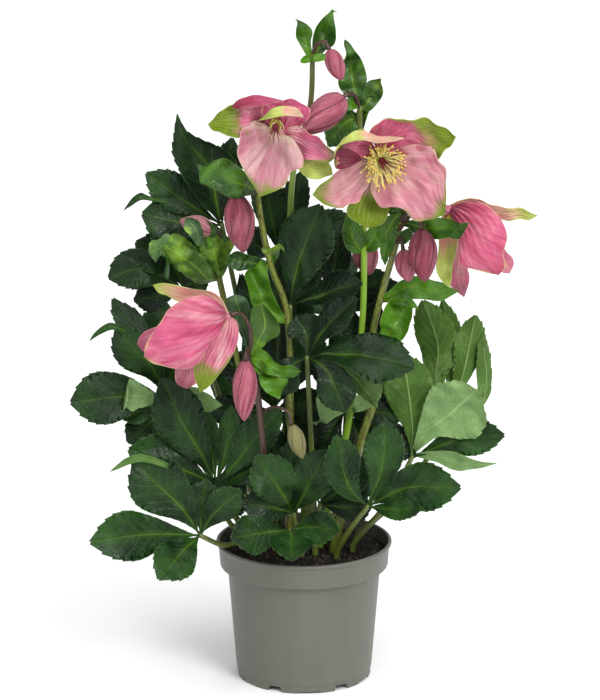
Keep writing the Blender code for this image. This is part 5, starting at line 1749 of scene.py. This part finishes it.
@dataclass
class Bloom:
    """An open bloom: sepals round a receptacle, stamens, nectaries and styles."""

    name: str
    plan: BloomPlan
    wardrobe: Wardrobe
    seed: int
    disc_low: float = 6.0
    disc_high: float = 8.4
    nectaries: int = 14
    carpels: int = 6
    thread_turn: float = 0.381966

    def __post_init__(self) -> None:
        """Work out where the bloom sits and the way it opens."""
        self.seat = placed(self.plan.seat)
        self.axis = unit(placed(self.plan.aim) - self.seat)
        self.girth = 0.5 if self.plan.shed else 1.0

    def seated(self, out: Array, up: Array) -> Array:
        """True places of points that stand out from the axis of the threads and up along it."""
        return tilted(out + AXIS * up, self.seat + np.array(self.plan.raised), self.axis)

    def sepals(self) -> Object:
        """Join the sepals to their receptacle.

        Returns:
            The piece that stands for the sepals.
        """
        whole = Assembly(self.name + "_petals")
        steps = shares(10)
        radii = 2.4 + 2.2 * smooth(0.0, 0.55, steps)
        spine = self.seat + self.axis * (GAP + 5.6 * steps)[:, None]
        whole.add(tube(spine, radii, 20, 0, 0.7))
        for number, item in enumerate(self.plan.sepals):
            whole.add(self.sepal(number, item))
        return whole.piece([self.wardrobe.petal, self.wardrobe.fold])

    def sepal(self, number: int, item: Shell) -> Patch:
        """One sepal. Its inner side faces the bloom's axis, unless it has a base of its own.

        Args:
            number: its place in the order.
            item: its row of the table.

        Returns:
            The closed patch.
        """
        seed = self.seed * SEPAL_SEEDS + number
        slot = 1 if item.cream else 0
        if item.base:
            towards = np.array(item.faces)
            return spanned(placed(item.base), item, towards, seed, slot, ribs=0.4, crumple=0.8, foot=0.5)
        base = self.seat + self.axis * (1.8 + 0.5 * (number % 3))
        centre = placed(item.left + item.right).mean(axis=0)
        inwards = self.seat + 60.0 * self.axis - centre
        crumple = 1.2 if self.plan.spread < NODDING else 1.4
        if self.plan.shed:
            crumple = 2.2
        return spanned(base, item, inwards, seed, slot, ribs=1.1, crumple=crumple, foot=2.4)

    def stamens(self) -> Object:
        """Join the disc, its ring of nectaries and the stamens that stand round it.

        Returns:
            The piece that stands for them.
        """
        whole = Assembly(self.name + "_threads")
        draw = np.random.default_rng(self.seed * THREAD_SEEDS)
        levels = np.array([GAP, 0.8, 1.6, 2.2]) + self.disc_low
        spine = self.seated(np.zeros(3), levels[:, None])
        whole.add(tube(spine, self.girth * np.array([4.6, 5.0, 4.8, 3.9]), 24, 2))
        for number in range(self.nectaries):
            turn = TURN * (number + draw.uniform(-0.15, 0.15)) / self.nectaries
            whole.add(self.nectary(turn, draw.uniform(0.85, 1.1)))
        for number in range(self.plan.stamens):
            self.stamen(whole, number, draw)
        looks = [self.wardrobe.filament, self.wardrobe.anther, self.wardrobe.nectary]
        return whole.piece(looks)

    def nectary(self, turn: float, size: float) -> Patch:
        """A small green horn that leans outwards from the disc and flares at its mouth.

        Args:
            turn: its angle round the disc.
            size: its size against the usual one.

        Returns:
            The closed patch.
        """
        size = size * (0.5 if self.plan.shed or self.plan.spread < NODDING else 1.0)
        steps = shares(7)[:, None]
        out = outward(turn) * (4.2 * self.girth + 5.2 * size * steps)
        up = self.disc_low + 1.2 + size * (3.4 * steps - 1.2 * steps**3)
        radii = size * np.array([0.55, 0.7, 0.85, 1.0, 1.15, 1.3, 1.1])
        return tube(self.seated(out, up), radii, 8, 2)

    def stamen(self, whole: Assembly, number: int, draw: np.random.Generator) -> None:
        """A filament that bends outwards, and the anther on its end.

        Args:
            whole: the piece that they are added to.
            number: its place in the order.
            draw: the source of its random values.
        """
        turn = TURN * (number * self.thread_turn + draw.uniform(-0.05, 0.05))
        lean = math.radians(self.plan.spread * draw.uniform(0.3, 1.15))
        length = draw.uniform(4.0, 8.0) if self.plan.shed else draw.uniform(9.0, 16.0)
        steps = shares(8)[:, None]
        ring = 3.4 - 1.0 * draw.uniform(0, 1)
        out = outward(turn) * (ring + length * math.sin(lean) * steps**1.2)
        up = self.disc_high - 0.8 + length * math.cos(lean) * steps
        spine = self.seated(out, up) + np.array(self.plan.droop) * 0.45 * steps**1.6
        spine = spine + draw.normal(0.0, 0.7, 3) * np.sin(math.pi * steps)
        whole.add(tube(spine, np.linspace(0.32, 0.2, 8), 5, 0))
        if self.plan.shed:
            return
        way = unit(spine[-1] - spine[-2] + draw.normal(0.0, 0.25, 3))
        head = spine[-1] + way * np.linspace(-0.4, 2.4, 6)[:, None]
        whole.add(tube(head, np.array([0.2, 0.5, 0.66, 0.66, 0.5, 0.2]), 7, 1, float(draw.uniform(0, 1))))

    def styles(self) -> Object:
        """Make the dark red carpels: swollen at the foot, with styles that bend apart and droop.

        Returns:
            The piece that stands for them.
        """
        whole = Assembly(self.name + "_carpels")
        steps = shares(14)[:, None]
        radii = 0.34 + 0.95 * np.exp(-(((steps[:, 0] - 0.2) / 0.22) ** 2))
        radii[-1] = 0.3
        for number in range(self.carpels):
            turn = TURN * (number + 0.5) / self.carpels
            out = outward(turn) * (1.0 + 1.0 * steps + 2.4 * steps**2)
            spine = self.seated(out, self.disc_high + GAP + 11.0 * steps)
            whole.add(tube(spine + np.array(self.plan.droop) * steps**1.5, radii, 10))
        return whole.piece([self.wardrobe.style])


@dataclass
class Bud:
    """A closed bud: five sepals wrapped round each other."""

    name: str
    plan: BudPlan
    wardrobe: Wardrobe
    lobes: int = 5
    rows: int = 40
    sides: int = 90

    def build(self) -> Object:
        """Loft rings along the bud's axis, swelled where the sepals bulge and overlap.

        Returns:
            The piece that stands for the bud's solid.
        """
        seat, tip = placed(self.plan.seat), placed(self.plan.tip)
        length = np.linalg.norm(tip - seat) - GAP
        steps = shares(self.rows)
        width = self.plan.radius * np.sin(math.pi * (0.04 + 0.95 * steps) ** 0.85) ** self.plan.power
        angle = circle(self.sides)
        phase = (angle[None, :] * self.lobes / TURN + 0.7 * steps[:, None] ** 1.5) % 1.0
        bulge = 0.07 * np.sin(math.pi * phase) - 0.02
        lap = 0.09 * (1 - smooth(0.0, 0.1, phase))
        fine = 0.014 * np.cos(7 * TURN * phase)
        sway = 0.06 * np.sin(2 * angle[None, :] + 3 * steps[:, None])
        radius = width[:, None] * (1 + bulge + lap + fine + sway)
        rings = tilted(turned(radius, angle, (steps * length + GAP)[:, None]), seat, tip - seat)
        uv = paired(np.minimum(phase, 1 - phase), steps[:, None])
        whole = Assembly(self.name + "_sepals")
        whole.add(lofted(rings, uv, mark=np.full(radius.shape, self.plan.green), tone=self.plan.blush))
        return whole.piece([self.wardrobe.bud])


@dataclass
class Pot:
    """The nursery pot, turned about +Z from a rounded profile, with notches in its foot."""

    wardrobe: Wardrobe
    sides: int = 540
    corner_steps: int = 5
    floor_under: float = 4.6
    foot_inner: float = 45.5
    foot_outer: float = 49.5
    notches: int = 6
    deep: tuple[float, float, float] = (10.4, 4.2, -26.0)
    shallow: tuple[float, float, float] = (15.4, 1.5, 4.0)
    drain_holes: int = 6
    drain_radius: float = 4.5
    drain_ring: float = 30.0
    profile: tuple[Point, ...] = (
        (45.5, 4.6, 0.0), (45.5, 0.0, 0.5), (49.5, 0.0, 0.6), (49.6, 5.0, 1.0), (50.3, 6.6, 1.2),
        (56.5, 82.4, 1.5), (57.2, 84.2, 0.8), (62.2, 85.2, 1.2), (63.3, 100.6, 0.8), (64.9, 101.4, 0.8),
        (65.0, 103.6, 0.9), (62.4, 104.0, 0.9), (61.1, 88.0, 1.0), (55.3, 84.6, 1.5), (48.9, 6.2, 0.0),
    )

    def outline(self) -> Array:
        """Round each corner of the profile by a quadratic curve.

        Returns:
            The points (radius, height).
        """
        corners = np.array(self.profile)
        rows = [corners[0, :2]]
        part = shares(self.corner_steps)[:, None]
        for before, here, after in zip(corners, corners[1:], corners[2:]):
            start = here[:2] + unit(before[:2] - here[:2]) * here[2]
            end = here[:2] + unit(after[:2] - here[:2]) * here[2]
            rows.append(start * (1 - part) ** 2 + 2 * here[:2] * part * (1 - part) + end * part**2)
        rows.append(corners[-1, :2])
        return np.vstack(rows)

    def notch_height(self, angle: Array) -> Array:
        """How far the foot ring is cut away.

        Args:
            angle: angles from the front.

        Returns:
            The height of the cut at each, in millimetres.
        """
        height = np.zeros_like(angle)
        for width, depth, turn in (self.deep, self.shallow):
            pitch = TURN / self.notches
            middle = (angle - math.radians(turn) + pitch / 2) % pitch - pitch / 2
            off = np.abs(middle) * self.foot_outer - width / 2
            height = np.maximum(height, depth * (1 - smooth(-0.25, 0.25, off)))
        return height

    def build(self) -> Object:
        """Turn the profile about +Z, with its notches and drain holes.

        Returns:
            The piece that stands for the pot's solid.
        """
        profile = self.outline()
        angle = circle(self.sides)
        radius = np.broadcast_to(profile[:, :1], (len(profile), self.sides))
        height = np.broadcast_to(profile[:, 1:], (len(profile), self.sides))
        low = (height < self.floor_under) & (radius > self.foot_inner - 0.1)
        height = np.where(low, np.maximum(height, self.notch_height(angle)[None, :]), height)
        whole = Assembly("pot_moulding")
        whole.add(lofted(turned(radius, angle, height), paired(angle[None, :] / TURN, height / 104)))
        pot = whole.piece([self.wardrobe.pot])
        self.drill(pot)
        pot.data.set_sharp_from_angle(angle=math.radians(50))
        return pot

    def drill(self, pot: Object) -> None:
        """Cut the drain holes through the floor with one Boolean, which is applied.

        Args:
            pot: the pot's piece.
        """
        whole = Assembly("drain_cutters")
        for number in range(self.drain_holes):
            turn = TURN * (number + 0.5) / self.drain_holes
            place = self.drain_ring * np.array([math.sin(turn), math.cos(turn), 0.0])
            spine = place + AXIS * np.linspace(2.0, 9.0, 3)[:, None]
            whole.add(tube(spine, np.full(3, self.drain_radius), 32))
        cutter = whole.piece([self.wardrobe.pot])
        modifier = pot.modifiers.new("drains", "BOOLEAN")
        modifier.operation = "DIFFERENCE"
        modifier.object = cutter
        graph = bpy.context.evaluated_depsgraph_get()
        made = bpy.data.meshes.new_from_object(pot.evaluated_get(graph))
        pot.modifiers.clear()
        pot.data = made
        bpy.data.objects.remove(cutter, do_unlink=True)


@dataclass
class Soil:
    """The potting soil: a lumpy fill with crumbs and fibres on it."""

    wardrobe: Wardrobe
    rings: int = 64
    sides: int = 240
    reach: float = 60.7
    crumbs: int = 1100
    fibres: int = 110

    def level(self, places: Array) -> Array:
        """The height of the surface: slow swells, lumps and grains.

        Args:
            places: points (x, y), in millimetres.

        Returns:
            A height for each.
        """
        swell = 0.9 * waves(places, 38.0, 12, 5) + 0.55 * waves(places, 9.0, 30, 6)
        grain = 0.3 * waves(places, 3.2, 40, 7)
        edge = 1.6 * smooth(0.82, 1.0, np.linalg.norm(places, axis=-1) / self.reach)
        return SOIL_TOP - 0.4 + 0.55 * swell + grain - edge

    def build(self) -> Object:
        """Loft side rings, and then rings over the surface towards the middle.

        Returns:
            The piece that stands for the soil's solid.
        """
        round_it = np.stack([np.sin(circle(self.sides)), -np.cos(circle(self.sides))], axis=-1)
        sides = np.array([(48.0, 6.7), (54.4, 84.4), (60.5, 88.6)])
        radii = self.reach * np.linspace(1.0, 0.02, self.rings) ** 0.9
        level = self.level(radii[:, None, None] * round_it)
        heights = np.vstack([np.repeat(sides[:, 1:], self.sides, axis=1), level])
        reach = np.concatenate([sides[:, 0], radii])
        flat = reach[:, None, None] * round_it
        rings = np.concatenate([flat, heights[..., None]], axis=-1)
        uv = flat / 130 + 0.5
        whole = Assembly("soil_fill")
        whole.add(lofted(rings, uv))
        return whole.piece([self.wardrobe.soil])

    def litter(self) -> Object:
        """Scatter crumbs and fibres over the surface, each sunk a little into it.

        Returns:
            The piece.
        """
        draw = np.random.default_rng(LITTER_SEED)
        whole = Assembly("soil_crumbs")
        steps = shares(5)
        for _ in range(self.crumbs):
            place = self.spot(draw)
            size = 0.35 + 1.5 * draw.random() ** 3
            way = unit(draw.normal(size=3))
            spine = place + way * size * np.linspace(-1.1, 1.1, 5)[:, None]
            radii = size * (0.25 + np.sin(math.pi * steps) * draw.uniform(0.5, 1.0))
            whole.add(tube(spine, radii, 6))
        for _ in range(self.fibres):
            place = self.spot(draw)
            turn = draw.uniform(0, TURN)
            length = draw.uniform(3, 11)
            way = np.array([math.cos(turn), math.sin(turn), 0.12])
            bend = np.array([-math.sin(turn), math.cos(turn), 0.5]) * draw.uniform(-2, 2)
            spine = place + way * length * (steps[:, None] - 0.5) + bend * (steps * (1 - steps))[:, None]
            spine[:, 2] += 0.4
            whole.add(tube(spine, np.array([0.1, 0.22, 0.25, 0.2, 0.08]), 5))
        return whole.piece([self.wardrobe.crumb])

    def spot(self, draw: np.random.Generator) -> Array:
        """A random place on the surface, inside the pot's wall.

        Args:
            draw: the source of its random values.

        Returns:
            The place, in millimetres.
        """
        reach, turn = (self.reach - 3.0) * math.sqrt(draw.random()), draw.uniform(0, TURN)
        flat = np.array([reach * math.cos(turn), reach * math.sin(turn)])
        return np.append(flat, self.level(flat))


@dataclass
class Studio:
    """A pale floor, soft lights and the camera at the picture's viewing angle."""

    floor_size: float = 60.0
    grey: float = 0.9
    surround: float = 0.38
    aim: float = 0.26

    def floor(self) -> None:
        """A pale, flat floor that reaches past the horizon of every view."""
        side = np.linspace(-0.5, 0.5, 5) * self.floor_size
        x, y = np.meshgrid(side, side)
        grid = np.stack([x, y, np.zeros_like(x)], axis=-1).reshape(-1, 3)
        number = np.arange(25).reshape(5, 5)
        quads = np.stack([number[:-1, :-1], number[:-1, 1:], number[1:, 1:], number[1:, :-1]], axis=-1)
        mesh = bpy.data.meshes.new("studio_floor")
        mesh.from_pydata(grid.tolist(), [], quads.reshape(-1, 4).tolist())
        graph = Graph("floor_paper")
        tint = graph.noise(3.0, 2.0)
        graph.coat("Base Color", graph.mix(tint, (self.grey,) * 3, (self.grey + 0.02,) * 3))
        graph.coat("Roughness", 0.85)
        mesh.materials.append(graph.material)
        linked("studio_floor", mesh)

    def lamp(self, name: str, kind: str, power: float, place: Point, turn: Point, **sizes: object) -> None:
        """A light.

        Args:
            name: its name.
            kind: its type.
            power: its strength.
            place: where it stands, in metres.
            turn: its rotation.
            sizes: the values of its own settings.
        """
        data = bpy.data.lights.new(name, kind)
        data.energy = power
        for key, value in sizes.items():
            setattr(data, key, value)
        obj = linked(name, data)
        obj.location = place
        obj.rotation_euler = turn

    def panel(self, name: str, place: Point, size: float, power: float) -> None:
        """A square area light that faces the plant.

        Args:
            name: its name.
            place: where it stands, in metres.
            size: the length of a side, in metres.
            power: its strength.
        """
        x, y, z = np.array([0.0, 0.0, self.aim]) - np.array(place)
        turn = (math.atan2(math.hypot(x, y), -z), 0.0, math.pi + math.atan2(x, -y))
        self.lamp(name, "AREA", power, place, turn, shape="SQUARE", size=size)

    def world(self) -> None:
        """An even, pale surrounding."""
        world = bpy.data.worlds.new("studio_world")
        world.use_nodes = True
        inputs = world.node_tree.nodes["Background"].inputs
        inputs[0].default_value = (0.95, 0.97, 1.0, 1.0)
        inputs[1].default_value = self.surround
        bpy.context.scene.world = world

    def camera(self) -> None:
        """The camera, where the tables are read from."""
        data = bpy.data.cameras.new("camera")
        data.lens = data.sensor_width / 2 * FOCAL_PIXELS / HALF_HEIGHT_PIXELS
        obj = linked("camera", data)
        obj.location = (EYE_X * MM, -EYE_DISTANCE * MM, EYE_HEIGHT * MM)
        down = math.atan2(EYE_HEIGHT - AIM_HEIGHT, EYE_DISTANCE)
        obj.rotation_euler = (math.pi / 2 - down, 0.0, 0.0)
        bpy.context.scene.camera = obj

    def build(self) -> None:
        """Set up the studio."""
        self.floor()
        self.world()
        self.panel("key", (1.3, -2.2, 1.9), 1.1, 62.0)
        self.panel("fill", (-2.0, -1.8, 1.5), 1.3, 20.0)
        self.panel("back", (0.9, 2.4, 1.7), 1.4, 16.0)
        tilt = (math.radians(14.0), math.radians(8.0), 0.0)
        self.lamp("overhead", "SUN", 2.15, (0.0, 0.0, 3.0), tilt, angle=math.radians(60.0))
        self.camera()
        bpy.context.scene.view_settings.view_transform = "Standard"


def dress(piece: Object, node: str | None) -> None:
    """Let a piece ride on the plant's body and stand for its solid.

    Args:
        piece: the finished piece.
        node: the solid that it replaces, or None for an addition.
    """
    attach(piece, "root")
    if node:
        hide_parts(node)
    log.info("%s: %d faces", piece.name, len(piece.data.polygons))


def main() -> None:
    """Build the pot, the soil, the plant and the studio."""
    logging.basicConfig(level=logging.INFO, format="%(name)s %(message)s")
    wardrobe = Wardrobe()
    dress(Pot(wardrobe).build(), "pot")
    soil = Soil(wardrobe)
    dress(soil.build(), "soil")
    dress(soil.litter(), None)
    for seed, (name, plan) in enumerate(LEAVES.items()):
        dress(Leaf(name, plan, wardrobe, seed).build(), name)
    for seed, (name, plan) in enumerate(INNER.items(), 40):
        dress(Leaf(name, plan, wardrobe, seed).build(), None)
    for seed, (name, plan) in enumerate(STEMS.items()):
        dress(Stem(name, plan, wardrobe, seed).build(), name)
    for seed, (name, plan) in enumerate(BLOOMS.items()):
        flower = Bloom(name, plan, wardrobe, seed)
        dress(flower.sepals(), name + "_sepals")
        dress(flower.stamens(), name + "_stamens")
        dress(flower.styles(), name + "_styles")
    for name, plan in BUDS.items():
        dress(Bud(name, plan, wardrobe).build(), name)
    Studio().build()


if __name__ == "__main__":
    main()
